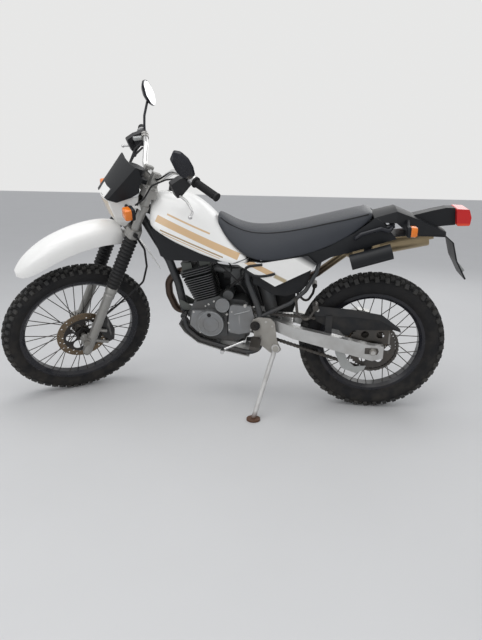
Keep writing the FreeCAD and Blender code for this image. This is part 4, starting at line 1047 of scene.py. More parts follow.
@dataclass
class Bodywork:
    """The painted skins: tank, front fender and side covers."""

    # columns: x, underside, top, half width low, half width high, crown
    tank_rows: tuple[tuple[float, float, float, float, float, float], ...] = (
        (548, 697, 722, 106, 102, 3), (560, 699, 738, 112, 104, 6), (625, 700, 792, 126, 96, 14),
        (690, 722, 889, 131, 80, 26), (745, 742, 940, 133, 76, 29), (790, 762, 970, 134, 75, 30),
        (845, 786, 985, 134, 74, 28), (893, 812, 987, 133, 73, 24), (934, 838, 984, 128, 72, 20),
        (958, 858, 974, 114, 66, 16), (964, 872, 962, 84, 50, 12))
    neck: Outline = ((26, -10), (34.5, -10), (35.5, -1), (34, 0.2), (28, 0.2))
    neck_foot: Point = (867.5, 0, 982.3)
    neck_tip_deg: float = -9.4
    # columns: x, top, edge, half width
    fender_rows: tuple[tuple[float, float, float, float], ...] = (
        (1584, 729, 715, 20), (1574, 744, 711, 34), (1542, 782, 714, 54), (1480, 824, 741, 65),
        (1426, 850, 766, 70), (1322, 880, 797, 71), (1222, 887, 801, 68), (1162, 878, 790, 60),
        (1130, 862, 780, 54))
    tail_line: Outline = ((1140, 822), (1104, 813), (1056, 789), (1030, 748), (1004, 700), (982, 652), (963, 612))
    tail_across: tuple[float, ...] = (52, 34, 0, -34, -52)
    tail_droop: float = 0.004
    sheet: float = 3.0
    cover_slot: Cord = Cord("cover_slot", (
        (486, 121.5, 703), (520, 121.5, 698), (549, 121.5, 690), (556, 121.5, 680), (543, 121.5, 665),
        (512, 121.5, 653), (473, 121.5, 654), (432, 121.5, 665)), 6.0)

    def tank_ring(self, x: float, low: float, top: float, half_low: float, half_high: float,
                  crown: float) -> list[Point]:
        """One closed section across the tank.

        Args:
            x: Place along the bike.
            low: Height of the lower edge.
            top: Height of the middle.
            half_low: Half the width at the lower edge.
            half_high: Half the width at the shoulder.
            crown: How far the shoulder lies below the middle.

        Returns:
            The section's points.
        """
        rise = top - crown - low
        grow = half_low - half_high
        left = [(0.5 * half_high, top - 0.12 * crown), (0.9 * half_high, top - 0.7 * crown),
                (half_high + 0.35 * grow, top - crown - 0.24 * rise),
                (half_high + 0.78 * grow, top - crown - 0.58 * rise),
                (half_low, low + 0.12 * rise + 3), (half_low - 1, low + 1), (half_low - 12, low + 1)]
        right = [(-y, z) for y, z in reversed(left)]
        return [(x, y, z) for y, z in [(0.0, top)] + left + [(0.0, low + 3)] + right]

    def arch(self, x: float, top: float, edge: float, half: float) -> list[Point]:
        """One section of an arched sheet, from its left edge to its right one.

        Args:
            x: Place along the bike.
            top: Height of the middle.
            edge: Height of the edges.
            half: Half the width.

        Returns:
            The section's points.
        """
        drop = top - edge
        left = [(half, edge), (0.985 * half, top - 0.68 * drop), (0.88 * half, top - 0.32 * drop),
                (0.6 * half, top - 0.11 * drop), (0.3 * half, top - 0.02 * drop)]
        right = [(-y, z) for y, z in reversed(left)]
        return [(x, y, z) for y, z in left + [(0.0, top)] + right]

    def build(self, shop: Workshop) -> None:
        """Makes the skins.

        Args:
            shop: The workshop.
        """
        stance = shop.stance
        tank = from_rows("tank_skin", [self.tank_ring(*row) for row in self.tank_rows], ring=True, caps=True)
        refine(tank)
        livery = shop.paint.livery("tank_livery", GLOSS_WHITE, TANK_BANDS)
        shop.settle(tank, stance.chassis(), Body.CHASSIS, livery, Slot.WHITE_PLASTIC, "fuel_tank")
        neck = turned("filler_neck", self.neck, 40)
        tip = Matrix.Translation(self.neck_foot) @ tipped(self.neck_tip_deg, Axis.Y)
        shop.settle(neck, stance.chassis() @ tip, Body.CHASSIS, CHROME, Slot.CHROME)
        tail_rows = [[(x, y, z - self.tail_droop * y * y) for y in self.tail_across] for x, z in self.tail_line]
        for name, rows in (("front_fender_skin", [self.arch(*row) for row in self.fender_rows]),
                           ("front_fender_tail", tail_rows)):
            fender = from_rows(name, rows)
            refine(fender, wall=self.sheet, edge=0.8)
            shop.settle(fender, stance.steered(), Body.STEERING, GLOSS_WHITE, Slot.WHITE_PLASTIC, "front_fender")
        # The covers' livery carries printed bands and a band of painted shade from the seat.
        shop.coat(shop.nodes["side_covers"], shop.paint.livery("cover_livery_and_seat_shade", GLOSS_WHITE, COVER_BANDS))
        self.cover_slot.build(shop, BLACK_PLASTIC, Slot.BLACK_PLASTIC)


@dataclass
class ForkCollars:
    """The stepped collars at the top of the fork's sliders."""

    profile: Outline = ((21.5, 596), (24.5, 598), (24.5, 612), (23, 614), (23, 622), (26.5, 626), (26.5, 646),
                        (25, 650), (19, 651))
    ahead: float = 38.0
    across: float = 95.0

    def build(self, shop: Workshop) -> None:
        """Makes both collars.

        Args:
            shop: The workshop.
        """
        for side, label in SIDES:
            collar = turned("slider_collar_" + label, self.profile)
            place = shop.stance.fork() @ Matrix.Translation((self.ahead, side * self.across, 0))
            shop.settle(collar, place, Body.STEERING, FORK_GREY, Slot.ENGINE_SILVER)


# Lamps and mirrors


@dataclass
class Lamp:
    """A boxed indicator: an orange lens on a black shell and stalk."""

    name: str
    middle: Point
    foot: Point
    size: float = 1.0
    shell: Point = (17.0, 45.0, 43.0)
    lens: Point = (30.0, 42.0, 39.0)
    rounding: float = 8.0
    stalk_r: float = 7.5

    def build(self, shop: Workshop, place: Matrix, body: Body, node: str) -> None:
        """Makes the lamp on both sides.

        Args:
            shop: The workshop.
            place: Matrix of what carries it.
            body: The body that carries it.
            node: The CAD node that it stands for.
        """
        x, reach, z = self.middle
        ahead = math.copysign(1, x)
        for side, label in SIDES:
            y = side * reach
            for part, shift, size, finish, slot in (
                    ("shell", -11.0, self.shell, BLACK_PLASTIC, Slot.BLACK_PLASTIC),
                    ("lens", 6.0, self.lens, ORANGE, Slot.ORANGE_LENS)):
                widths = tuple(self.size * width for width in size)
                piece = box(self.name + "_" + part + "_" + label, (x + ahead * shift, y, z), widths, self.rounding)
                shop.settle(piece, place, body, finish, slot, node)
            stalk = tube(self.name + "_stalk_" + label,
                         [(self.foot[0], side * self.foot[1], self.foot[2]), (x - ahead * 8, side * (reach - 18), z)],
                         self.stalk_r, smooth=False)
            shop.settle(stalk, place, body, BLACK_PLASTIC, Slot.RUBBER, node)


@dataclass
class MirrorGlass:
    """The silvered glass in each mirror's housing."""

    outline: Outline = ((-66, -8), (-60, 22), (-30, 42), (8, 44), (44, 34), (64, 8), (56, -26), (20, -42), (-34, -40))
    # columns: side, centre, turn, tilt and roll in degrees
    rows: tuple[tuple[int, Point, float, float, float], ...] = (
        (-1, (848.8, -300.0, 1285.4), -36.5, 15.8, -35.8), (1, (953.5, 300.0, 1203.5), 35.4, 21.1, 15.4))
    inset: Pair = (0.93, 0.91)
    depths: Pair = (-3.0, -1.0)

    def build(self, shop: Workshop) -> None:
        """Makes both glasses.

        Args:
            shop: The workshop.
        """
        labels = dict(SIDES)
        for side, centre, turn, tilt, roll in self.rows:
            place = Matrix.Translation(centre) @ tipped(turn, Axis.Z)
            place = place @ tipped(90 + tilt, Axis.Y) @ tipped(roll, Axis.Z)
            corners = [(x * self.inset[0], side * y * self.inset[1]) for x, y in self.outline]
            rows = [[(x, y, z) for x, y in corners] for z in self.depths]
            glass = from_rows("mirror_glass_" + labels[side], rows, ring=True, caps=True)
            refine(glass, 0)
            shop.settle(glass, shop.stance.steered() @ place, Body.STEERING, MIRROR_GLASS, Slot.MIRROR)


# Chain and engine


@dataclass
class ChainLoop:
    """The roller chain, one link for each pitch round both sprockets."""

    pitch: float = 15.875
    y: float = 63.0
    # width of the inner and the outer links
    widths: Pair = (0.9, 1.16)
    # columns: x, z, radius of the pitch circle
    rear: Point = (0.0, 322.0, 111.3)
    front: Point = (592.0, 432.0, 38.2)

    def path(self) -> list[Vector]:
        """Points of the belt line, closely spaced.

        Returns:
            The points, the first one again at the end.
        """
        (x1, z1, r1), (x2, z2, r2) = self.rear, self.front
        gap = math.hypot(x2 - x1, z2 - z1)
        lean = math.atan2(z2 - z1, x2 - x1)
        open_angle = math.acos((r1 - r2) / gap)
        points = []
        for (x, z, r), first, sweep, steps in ((self.rear, lean + open_angle, math.tau - 2 * open_angle, 200),
                                               (self.front, lean - open_angle, 2 * open_angle, 100)):
            for i in range(steps + 1):
                angle = first + sweep * i / steps
                points.append(Vector((x + r * math.cos(angle), self.y, z + r * math.sin(angle))))
        return points + points[:1]

    def link(self) -> Mesh:
        """Two waisted side plates, a roller and its pin, along the X axis.

        Returns:
            The link's mesh.
        """
        half = self.pitch / 2
        outline = [(-half - 6, 0), (-half - 4, 5), (-half + 1.5, 6.5), (0, 4.2), (half - 1.5, 6.5), (half + 4, 5),
                   (half + 6, 0), (half + 4, -5), (half - 1.5, -6.5), (0, -4.2), (-half + 1.5, -6.5), (-half - 4, -5)]
        parts = [plate("link_plate", outline, y, 1.8, 0.0) for y in (4.2, -6.0)]
        parts += [pin(10, r, depth, (-half, 0, 0), (math.pi / 2, 0, 0)) for r, depth in ((5.0, 8.0), (2.6, 15.5))]
        return welded(parts)

    def build(self, shop: Workshop) -> None:
        """Makes the chain.

        Args:
            shop: The workshop.
        """
        points = self.path()
        length = sum((b - a).length for a, b in zip(points, points[1:]))
        count = int(round(length / self.pitch / 2)) * 2
        step = length / count
        places = []
        walked = 0.0
        target = step / 2
        for a, b in zip(points, points[1:]):
            run = (b - a).length
            while target <= walked + run and len(places) < count:
                spot = a + (b - a) * ((target - walked) / run)
                angle = math.atan2(-(b - a).z, (b - a).x)
                places.append(Matrix.Translation(spot) @ Matrix.Rotation(angle, 4, "Y")
                              @ Matrix.Diagonal((1.0, self.widths[len(places) % 2], 1.0, 1.0)))
                target += step
            walked += run
        chain = stamped("chain_links", self.link(), places)
        shop.settle(chain, shop.stance.chassis(), Body.CHASSIS, SPROCKET, Slot.STEEL, "chain")


@dataclass
class EngineTrim:
    """Rims, plugs, lids, bolts and hoses on the engine and its mounts, and black sheets of painted shade behind it.
    """

    # columns: name, x, z; then the profile as (radius, height) and the finish
    rounds: tuple[tuple[str, float, float, Outline, Finish], ...] = (
        # The two rims wear the lighter silver as a painted highlight.
        ("alternator_highlight_rim", 716, 414, ((53, -1), (54, 1.6), (58, 1.8), (60, -1)), COVER_HIGHLIGHT),
        ("alternator_ring", 716, 410, ((33, -1), (34, 1.6), (37, 1.6), (38, -1)), ENGINE_SILVER),
        ("inspection_plug", 722, 456, ((0, 2.6), (8, 2.6), (9.5, -1)), RUBBER),
        ("gear_cover_highlight_rim", 662, 502, ((27, -1), (28, 1.4), (31, 1.4), (32, -1)), COVER_HIGHLIGHT),
        ("pivot_cap", 515, 421, ((0, 3), (8, 3), (9, 6), (15, 6), (16, 3), (21, 3), (22, -1)), RUBBER))
    ridge: Outline = ((610, 461.4), (590, 467.4), (565, 474.9), (540, 482.4))
    ridge_r: float = 3.2
    ridge_lift: float = 0.6
    panels: tuple[Panel, ...] = (
        Panel("rocker_lid_front", ((846, 681), (802, 685), (792, 634), (841, 627)), 54.5, 3.0, 2.0, LID_GREEN,
              Slot.ENGINE_DARK),
        Panel("rocker_lid_rear", ((768, 693), (718, 697), (711, 654), (759, 649)), 54.5, 3.0, 2.0, LID_GREEN,
              Slot.ENGINE_DARK),
        # Painted shade: two black sheets behind the engine fill the gaps there with shade.
        Panel("splash_panel", ((712, 650), (560, 650), (540, 612), (494, 462), (556, 452), (572, 512), (684, 520)),
              -44.0, 10.0, 2.0, BLACK_PLASTIC, Slot.BLACK_PLASTIC, both=False),
        Panel("rear_splash_panel", ((446, 604), (376, 588), (346, 544), (342, 476), (354, 434), (446, 434)),
              -44.0, 10.0, 2.0, BLACK_PLASTIC, Slot.BLACK_PLASTIC, both=False),
        Panel("front_mount", ((866, 506), (852, 500), (800, 470), (806, 456), (842, 455), (862, 468)), 36.0, 5.0, 1.5,
              LID_GREEN, Slot.BRACKET_PAINT))
    bolts: tuple[Bolts, ...] = (
        Bolts("engine_bolts", ("crankcase", "engine_covers", "cylinder", "carburettor"), (
            (703, 512, 5, 1), (727, 497, 5, 1), (742, 488, 4, 1), (793, 464, 5, 1), (647, 452, 5, 1),
            (635, 420, 4, 1), (621, 474, 4, 1), (562, 502, 6, 1), (632, 388, 4, 1), (770, 360, 4, 1),
            (536, 392, 4, 1), (700, 500, 5, -1), (780, 450, 5, -1), (640, 380, 5, -1), (560, 480, 5, -1),
            (740, 340, 5, -1))),
        Bolts("bracket_bolts", ("pivot_brackets", "frame"), (
            (468, 440, 6, 1), (492, 368, 6, 1), (440, 420, 5, 1), (468, 440, 6, -1), (540, 330, 6, -1))),
        Bolts("axle_nuts", ("rear_axle", "swingarm"), ((0, 322, 11, 1), (0, 322, 11, -1))))
    adjuster: Outline = ((34, 308), (-20, 306), (-26, 322), (-20, 336), (34, 336))
    adjuster_xs: tuple[float, ...] = (32, 14, -4, -20)
    adjuster_z: float = 322.0
    cords: tuple[Cord, ...] = (
        Cord("intake_boot", ((662, 0, 622), (640, 0, 620), (616, 0, 612), (592, 0, 604)), 26),
        Cord("throttle_cable", ((628, 24, 640), (634, 34, 676), (668, 44, 700), (720, 52, 712)), 3.2),
        Cord("clutch_cable", ((560, 70, 560), (590, 88, 610), (640, 86, 660), (700, 66, 700)), 3.4),
        Cord("breather_hose", ((640, 30, 556), (616, 52, 590), (566, 62, 640), (548, 60, 690)), 6.5))

    def build(self, shop: Workshop) -> None:
        """Makes the trim.

        Args:
            shop: The workshop.
        """
        place = shop.stance.chassis()
        carriers = ("crankcase", "engine_covers", "pivot_brackets", "cylinder")
        seats = Seats(place, tuple(shop.nodes[node] for node in carriers))
        for name, x, z, profile, finish in self.rounds:
            shop.settle(turned(name, profile), place @ seats.on_side(x, z, 1), Body.CHASSIS, finish,
                        Slot.ENGINE_SILVER)
        line = [seats.on_side(x, z, 1, self.ridge_lift).translation for x, z in self.ridge]
        ridge = tube("cover_ridge", line, self.ridge_r)
        # The ridge wears the lighter silver as a painted highlight.
        shop.settle(ridge, place, Body.CHASSIS, COVER_HIGHLIGHT, Slot.ENGINE_SILVER)
        for piece in self.panels + self.bolts:
            piece.build(shop)
        arm = Seats(place, (shop.nodes["swingarm"],))
        for side, label in SIDES:
            face = max(abs(arm.on_side(x, self.adjuster_z, side).translation.y) for x in self.adjuster_xs)
            block = plate("chain_adjuster_" + label, self.adjuster, side * (face - 2.0), side * 5.0, 1.5)
            shop.settle(block, place, Body.CHASSIS, SPROCKET, Slot.STEEL)
        for cord in self.cords:
            cord.build(shop, RUBBER, Slot.RUBBER)


# Controls and tail


@dataclass
class RibbedGrips:
    """Rubber grips with rings round them."""

    start: Point = (901.0, 285.0, 1126.0)
    end: Point = (861.0, 400.0, 1104.0)
    radius: float = 15.5
    flange: float = 8.0
    rib_pitch: float = 6.0

    def build(self, shop: Workshop) -> None:
        """Makes both grips.

        Args:
            shop: The workshop.
        """
        place = shop.stance.steered()
        for side, label in SIDES:
            inner, outer = [Vector((x, side * y, z)) for x, y, z in (self.start, self.end)]
            first = self.flange
            last = (outer - inner).length + 3.5
            profile = [(0.0, first), (self.radius + 5.5, first), (self.radius + 5.5, first + 4.0)]
            z = first + 5.0
            while z < last - 9.0:
                profile += [(self.radius - 1.8, z), (self.radius - 1.8, z + 1.6), (self.radius, z + 2.4),
                            (self.radius, z + 5.0)]
                z += self.rib_pitch
            profile += [(self.radius + 1.2, last - 6.0), (self.radius + 1.2, last - 1.0), (self.radius - 1.5, last),
                        (0.0, last)]
            grip = turned("grip_" + label, profile, 28)
            shop.settle(grip, place @ along(inner, outer), Body.STEERING, RUBBER, Slot.RUBBER, "grips")


@dataclass
class ControlTrim:
    """Bright clamps round the bar and the lid of the hand pump."""

    start: Point = (932.0, 152.0, 1116.0)
    end: Point = (908.0, 225.0, 1132.0)
    clamp_reaches: Pair = (58.0, 78.0)
    clamp: Outline = ((11.2, 0), (16.5, 0), (16.5, 9), (11.2, 9))
    lid_middle: Point = (937.0, -240.0, 1123.0)
    lid_size: Point = (48.0, 46.0, 14.0)

    def build(self, shop: Workshop) -> None:
        """Makes the trim.

        Args:
            shop: The workshop.
        """
        place = shop.stance.steered()
        for side, label in SIDES:
            inner, outer = [Vector((x, side * y, z)) for x, y, z in (self.start, self.end)]
            for i, reach in enumerate(self.clamp_reaches):
                spot = inner + (outer - inner).normalized() * reach
                ring = turned("bar_clamp_%s_%d" % (label, i), self.clamp)
                shop.settle(ring, place @ along(spot, outer + (outer - inner)), Body.STEERING, BOLT, Slot.ALLOY)
        lid = box("pump_lid", self.lid_middle, self.lid_size, 1.5)
        shop.settle(lid, place, Body.STEERING, LIGHT_GREY, Slot.ALLOY)


@dataclass
class RearTrim:
    """The black panels beside the seat's tail as painted shade of the seat, the chain guard's skirt partly as painted
    shade of the gap between guard and chain, its bolt, and the flap's clip.
    """

    panels: tuple[Panel, ...] = (
        # Painted shade: black sheets beside the seat's tail for the seat's shadow and reflection on the white below
        # it.
        Panel("seat_shade_panel", ((345, 742), (262, 768), (227, 780), (117, 842), (60, 888), (40, 906), (8, 884),
                             (-49, 822), (40, 792), (123, 764), (206, 740), (262, 706), (285, 704), (330, 732)),
              112.0, 3.0, 1.0, BLACK_PLASTIC, Slot.BLACK_PLASTIC),
        # Black sheet by the chain: partly the guard's skirt, partly painted shade in the gap between guard and chain.
        Panel("guard_skirt_and_shade", ((264, 484), (250, 440), (184, 408), (150, 402), (128, 378), (104, 376), (90, 400),
                              (69, 405), (-26, 408), (-80, 412), (-112, 404), (-92, 422), (-21, 460), (98, 470),
                              (250, 472)), 74.0, 3.5, 1.0, BLACK_PLASTIC, Slot.BLACK_PLASTIC, both=False))
    bolt: Bolts = Bolts("guard_bolt", ("chain_guards",), ((246, 494, 8, 1),))
    clip_size: Point = (14.0, 46.0, 42.0)
    clip_middle: Point = (-338.0, 0.0, 684.0)
    clip_tilt_deg: float = 42.0

    def build(self, shop: Workshop) -> None:
        """Makes the trim.

        Args:
            shop: The workshop.
        """
        for piece in (*self.panels, self.bolt):
            piece.build(shop)
        clip = box("flap_clip", (0, 0, 0), self.clip_size, 3.0)
        lean = Matrix.Translation(self.clip_middle) @ tipped(self.clip_tilt_deg, Axis.Y)
        shop.settle(clip, shop.stance.chassis() @ lean, Body.CHASSIS, LIGHT_GREY, Slot.ALLOY)


# Tyres


@dataclass
class KnobbyTyre:
    """A knobbly tyre: a turned carcass and rows of rubber blocks, about its own axle."""

    name: str
    outer: float
    half: float
    bead: float
    rim_half: float
    pitches: int
    depth: float
    # columns: share of the half width, block width, block length, turn in degrees, place in the pitch
    rows: tuple[tuple[float, float, float, float, float], ...]
    steps: int = 120
    sunk: float = 1.5
    taper: float = 0.86
    chamfer: float = 0.07

    def profile(self) -> list[Pair]:
        """Half of the tyre's outline.

        Returns:
            Radius and side distance, from bead to crown.
        """
        depth = self.outer - self.bead
        shares = ((0.22, 0.86), (0.35, 0.95), (0.52, 1.0), (0.72, 0.975), (0.84, 0.86), (0.94, 0.62))
        walls = [(self.bead + r * depth, y * self.half) for r, y in shares]
        return [(self.bead + 10.0, self.rim_half)] + walls + [(self.outer, 0.3 * self.half)]

    def carcass(self) -> Piece:
        """The turned body of the tyre, below its blocks.

        Returns:
            The new piece.
        """
        side = []
        for r, y in self.profile():
            sink = self.depth * max(0.0, min(1.0, (r - self.bead) / (self.outer - self.bead) * 2.2 - 1.0))
            side.append((r - sink, y - 0.35 * sink))
        half = [(self.bead + 0.4, self.rim_half - 4.0)] + side
        outline = half + [(r, -y) for r, y in reversed(half)]
        angles = [math.tau * i / self.steps for i in range(self.steps)]
        rows = [[(r * math.cos(angle), y, -r * math.sin(angle)) for r, y in outline] for angle in angles]
        piece = from_rows(self.name, rows + rows[:1], ring=True)
        turn_outwards(piece, 0.01)
        shade(piece, 35)
        return piece

    def surface(self, share: float) -> tuple[float, float, float]:
        """Where the block tips lie.

        Args:
            share: Side distance as a share of the half width.

        Returns:
            Radius, side distance, and the outward tilt in radians.
        """
        side = self.profile()[3:] + [(self.outer, 0.0)]
        target = share * self.half
        for (r1, y1), (r2, y2) in zip(side, side[1:]):
            if y2 <= target <= y1:
                t = (y1 - target) / (y1 - y2)
                return r1 + (r2 - r1) * t, target, math.atan2(r2 - r1, y1 - y2)
        return side[0][0], side[0][1], math.radians(80)

    def block(self) -> Mesh:
        """One rubber block of unit width and length, standing on its base.

        Returns:
            The block's mesh.
        """
        calm()
        bpy.ops.mesh.primitive_cube_add(size=1.0, location=(0, 0, 0))
        block = newest()
        bpy.ops.object.mode_set(mode="EDIT")
        bpy.ops.mesh.select_all(action="DESELECT")
        mesh = bmesh.from_edit_mesh(block.data)
        for face in mesh.faces:
            face.select_set(face.normal.z > 0.9)
        mesh.select_flush_mode()
        bmesh.update_edit_mesh(block.data)
        bpy.ops.transform.resize(value=(self.taper, self.taper, 1.0), center_override=(0, 0, 0.5))
        bpy.ops.mesh.bevel(offset=self.chamfer, segments=1, affect="EDGES")
        bpy.ops.object.mode_set(mode="OBJECT")
        mesh = block.data.copy()
        bpy.data.objects.remove(block)
        return mesh

    def blocks(self) -> Piece:
        """All the rubber blocks.

        Returns:
            The new piece.
        """
        places = []
        for share, width, length, turn, phase in self.rows:
            r, y, tilt = self.surface(abs(share))
            lie = math.copysign(tilt, -share) if share else 0.0
            places += [Matrix.Rotation(math.tau * (i + phase) / self.pitches, 4, "Y")
                       @ Matrix.Translation((0, math.copysign(y, share), r)) @ Matrix.Rotation(lie, 4, "X")
                       @ tipped(turn, Axis.Z) @ Matrix.Diagonal((length, width, self.depth + self.sunk, 1.0))
                       @ Matrix.Translation((0, 0, -0.5)) for i in range(self.pitches)]
        return stamped(self.name + "_blocks", self.block(), places)

    def build(self, shop: Workshop, place: Matrix, body: Body, node: str) -> None:
        """Makes the tyre and settles it on its wheel.

        Args:
            shop: The workshop.
            place: Matrix of the wheel.
            body: The wheel's body.
            node: The CAD node that it stands for.
        """
        shop.settle(self.carcass(), place, body, TYRE, Slot.TYRE, node)
        shop.settle(self.blocks(), place, body, TREAD, Slot.TYRE, node)


FRONT_TYRE = KnobbyTyre("front_tyre_carcass", 345.0, 40.0, 267.0, 26.0, 56, 10.0, (
    (0.0, 15.0, 18.0, 0.0, 0.0), (0.38, 14.0, 19.0, 12.0, 0.5), (-0.38, 14.0, 19.0, -12.0, 0.5),
    (0.82, 20.0, 18.0, 6.0, 0.0), (-0.82, 20.0, 18.0, -6.0, 0.0)))
REAR_TYRE = KnobbyTyre("rear_tyre_carcass", 322.0, 53.0, 228.6, 31.0, 44, 12.0, (
    (0.15, 14.0, 22.0, 8.0, 0.0), (-0.15, 14.0, 22.0, -8.0, 0.5), (0.50, 18.0, 20.0, 14.0, 0.5),
    (-0.50, 18.0, 20.0, -14.0, 0.0), (0.86, 26.0, 20.0, 6.0, 0.0), (-0.86, 26.0, 20.0, -6.0, 0.5)))


# Seat


@dataclass
class Saddle:
    """The long seat: a crowned vinyl cover with a sewn line along each shoulder."""

    # columns: x, lower edge, shoulder, top, half width low, half width at the shoulder
    rows: tuple[tuple[float, float, float, float, float, float], ...] = (
        (684, 862, 893, 900, 54, 40), (668, 838, 884, 896, 66, 50), (642, 803, 868, 882, 86, 62),
        (604, 766, 849, 860, 98, 67), (556, 728, 834, 844, 110, 75), (500, 711, 829, 839, 119, 83),
        (423, 719, 835, 846, 123, 92), (341, 738, 850, 860, 125, 98), (230, 775, 877, 886, 125, 102),
        (120, 836, 903, 915, 118, 101), (66, 884, 917, 928, 104, 96), (44, 903, 916, 921, 88, 82))
    piping_r: float = 2.4

    def ring(self, x: float, low: float, seam: float, top: float, half_low: float, half_seam: float) -> list[Point]:
        """One closed section across the seat, from the bottom's middle up the left side and back.

        Args:
            x: Place along the bike.
            low: Height of the lower edge.
            seam: Height of the sewn line.
            top: Height of the middle.
            half_low: Half the width at the lower edge.
            half_seam: Half the width at the sewn line.

        Returns:
            The section's points.
        """
        rise = seam - low
        grow = half_seam - half_low
        left = [(half_low * 0.5, low + 5), (half_low - 7, low + 1.5), (half_low - 1, low + 4),
                (half_low + 0.12 * grow + 1, low + 0.25 * rise), (half_low + 0.45 * grow + 3, low + 0.62 * rise),
                (half_seam + 4, seam - 6), (half_seam + 2.2, seam - 1.6), (half_seam, seam - 1.5),
                (half_seam - 1.5, seam + 1.8), (half_seam - 9, seam + 0.45 * (top - seam)),
                (half_seam * 0.5, seam + 0.9 * (top - seam))]
        right = [(-y, z) for y, z in reversed(left)]
        return [(x, y, z) for y, z in [(0.0, low + 6)] + left + [(0.0, top)] + right]

    def build(self, shop: Workshop) -> None:
        """Makes the seat.

        Args:
            shop: The workshop.
        """
        cover = from_rows("seat_cover", [self.ring(*row) for row in self.rows], ring=True, caps=True)
        refine(cover)
        shop.settle(cover, shop.stance.chassis(), Body.CHASSIS, VINYL, Slot.SEAT_VINYL, "seat")
        for side, label in SIDES:
            line = tuple((x, side * (half + 1.6), seam - 1.0) for x, _, seam, _, _, half in self.rows[1:-1])
            Cord("seat_piping_" + label, line, self.piping_r).build(shop, RUBBER, Slot.RUBBER)


# Studio


@dataclass
class Studio:
    """Floor, light and camera."""

    eye: Point = (338.685, 2347.249, 707.794)
    yaw_deg: float = 6.15
    down_deg: float = 15.10
    roll_deg: float = 0.95
    lens_mm: float = 29.68
    aim: Point = (0.0, 0.0, 0.5)
    # columns: name, place, size, power
    softboxes: tuple[tuple[str, Point, float, float], ...] = (
        ("top_softbox", (0.2, 0.9, 3.6), 3.4, 62.0), ("side_softbox", (1.6, 3.4, 2.0), 2.4, 26.0),
        ("back_softbox", (-1.8, -3.0, 2.6), 2.4, 20.0))

    def camera(self, axle: Vector) -> None:
        """Stands the camera where the photograph was taken.

        Args:
            axle: The rear axle's middle, which the camera is measured from.
        """
        yaw, down, roll = (math.radians(a) for a in (self.yaw_deg, self.down_deg, self.roll_deg))
        ahead = Vector((math.sin(yaw) * math.cos(down), -math.cos(yaw) * math.cos(down), -math.sin(down)))
        side = ahead.cross(Vector((0, 0, 1))).normalized()
        up = side.cross(ahead)
        across = side * math.cos(roll) + up * math.sin(roll)
        rise = up * math.cos(roll) - side * math.sin(roll)
        lens = bpy.data.cameras.new("camera")
        lens.sensor_fit = "VERTICAL"
        lens.sensor_height = 36.0
        lens.lens = self.lens_mm
        lens.clip_end = 100.0
        camera = stand("camera", lens)
        camera.matrix_world = (Matrix.Translation(axle + Vector(self.eye) / 1000)
                               @ Matrix((across, rise, -ahead)).transposed().to_4x4())
        bpy.context.scene.camera = camera

    def floor(self, shop: Workshop) -> None:
        """Lays the pale floor.

        Args:
            shop: The workshop.
        """
        calm()
        bpy.ops.mesh.primitive_plane_add(size=60.0, location=(0, 0, -0.0015))
        floor = newest()
        floor.name = "studio_floor"
        coat = shop.paint.blank("pale_floor")
        clouds = coat.place("mottle", Broad=2.0, Fine=90.0).outputs["Clouds"]
        coat.feed("Base Color", coat.blend(clouds, (0.60, 0.60, 0.595), (0.64, 0.64, 0.635)))
        coat.shader["Roughness"].default_value = 0.85
        floor.data.materials.append(coat.material)

    def lights(self) -> None:
        """Soft even light, a little stronger from above and from the camera's side."""
        world = bpy.data.worlds.new("soft_sky")
        world.use_nodes = True
        tree = world.node_tree
        sky = tree.nodes["Background"]
        sky.inputs["Color"].default_value = (0.93, 0.95, 1.0, 1)
        sky.inputs["Strength"].default_value = 0.62
        seen = add_node(tree, "Background", in0=(0.80, 0.80, 0.795, 1), in1=1.0)
        path = add_node(tree, "LightPath")
        either = add_node(tree, "Math", operation="MAXIMUM", in0=path.outputs["Is Camera Ray"],
                          in1=path.outputs["Is Glossy Ray"])
        mix = add_node(tree, "MixShader", in0=either.outputs[0], in1=sky.outputs[0], in2=seen.outputs[0])
        tree.links.new(mix.outputs[0], tree.nodes["World Output"].inputs["Surface"])
        bpy.context.scene.world = world
        for name, place, size, power in self.softboxes:
            lamp = bpy.data.lights.new(name, "AREA")
            lamp.size = size
            lamp.energy = power
            holder = stand(name, lamp)
            holder.location = place
            holder.rotation_euler = (Vector(self.aim) - Vector(place)).to_track_quat("-Z", "Y").to_euler()

    def build(self, shop: Workshop) -> None:
        """Sets up the camera, the floor and the light.

        Args:
            shop: The workshop.
        """
        self.camera(shop.stance.axle)
        self.floor(shop)
        self.lights()
        bpy.context.scene.view_settings.view_transform = "Standard"


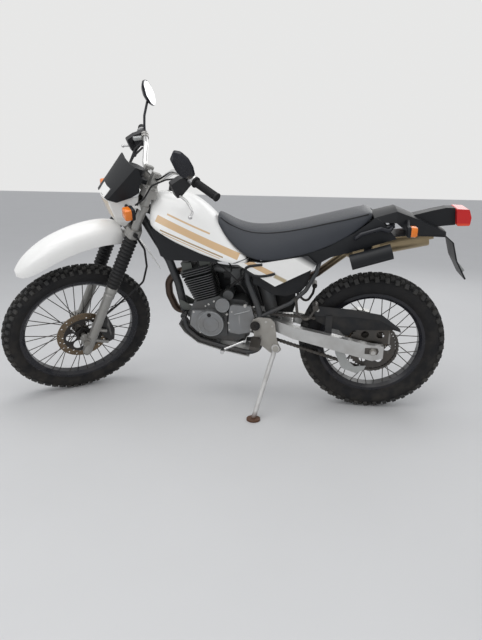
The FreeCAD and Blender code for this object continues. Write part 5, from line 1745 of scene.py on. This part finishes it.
def dress_nodes(shop: Workshop) -> None:
    """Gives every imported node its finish, or two where one piece carries two.

    Args:
        shop: The workshop.
    """
    for finish, nodes in NODES_IN:
        for node in nodes:
            shop.coat(shop.nodes[node], finish)
    upright, steered = shop.stance.chassis(), shop.stance.steered()
    # columns: node, material's name, axes, axis, place of the change, lower finish, upper finish, width of the change
    for node, name, place, axis, at, below, above, soft in (
            ("exhaust", "exhaust_heat", upright, Axis.X, 190.0, MUFFLER_GOLD, PIPE_BROWN, 120.0),
            ("hand_controls", "controls_levers", steered, Axis.Y, 271.0, CONTROL_BLACK, CHROME, 1.0),
            ("cowl", "cowl_and_ears", steered, Axis.X, 1062.0, FORK_GREY, GLOSS_WHITE, 3.0),
            ("cylinder", "fins", upright, Axis.Y, 65.0, ENGINE_DARK, FIN_EDGE, 3.0),
            ("side_stand", "stand_and_foot", upright, Axis.Z, 62.0, RUST, CHROME, 30.0),
            # The tail lamp's lower band is a painted glint.
            ("tail_lamp", "lamp_strip", upright, Axis.Z, 876.0, LAMP_GLINT_RED, RED, 1.0),
            ("front_disc", "front_disc_ring", shop.stance.front_wheel(), Axis.RADIUS, 91.0, CARRIER, DISC, 2.0),
            ("rear_disc", "rear_disc_ring", shop.stance.rear_wheel(), Axis.RADIUS, 78.0, CARRIER, DISC, 2.0),
            ("chain_guards", "guards", upright, Axis.Z, 345.0, LIGHT_GREY, BLACK_PLASTIC, 1.0)):
        shop.coat(shop.nodes[node], shop.paint.parted(name, place, axis, at, below, above, soft))


def main() -> None:
    """Builds the sub-assemblies in order."""
    logging.basicConfig(level=logging.INFO, format="%(message)s")
    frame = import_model()
    axle = next(joint for joint in frame["joints"] if joint["child"] == Body.REAR_WHEEL.value)
    stance = Stance(Vector(axle["pos_m"]))
    shop = Workshop(frame["nodes"], stance, PaintShop(stance))
    Studio().build(shop)
    dress_nodes(shop)
    Bodywork().build(shop)
    ForkCollars().build(shop)
    Lamp("front_indicator", (1124, 148, 970), (1112, 76, 968), 1.16).build(shop, stance.steered(), Body.STEERING,
                                                                           "front_indicators")
    Lamp("rear_indicator", (-93, 162, 864), (-93, 74, 886)).build(shop, stance.chassis(), Body.CHASSIS,
                                                                  "rear_indicators")
    for assembly in (MirrorGlass(), ChainLoop(), EngineTrim(), RibbedGrips(), RearTrim(), ControlTrim()):
        assembly.build(shop)
    FRONT_TYRE.build(shop, stance.front_wheel(), Body.FRONT_WHEEL, "front_tyre")
    REAR_TYRE.build(shop, stance.rear_wheel(), Body.REAR_WHEEL, "rear_tyre")
    Saddle().build(shop)
    LOG.info("%d pieces", len(shop.pieces))


if __name__ == "__main__":
    main()
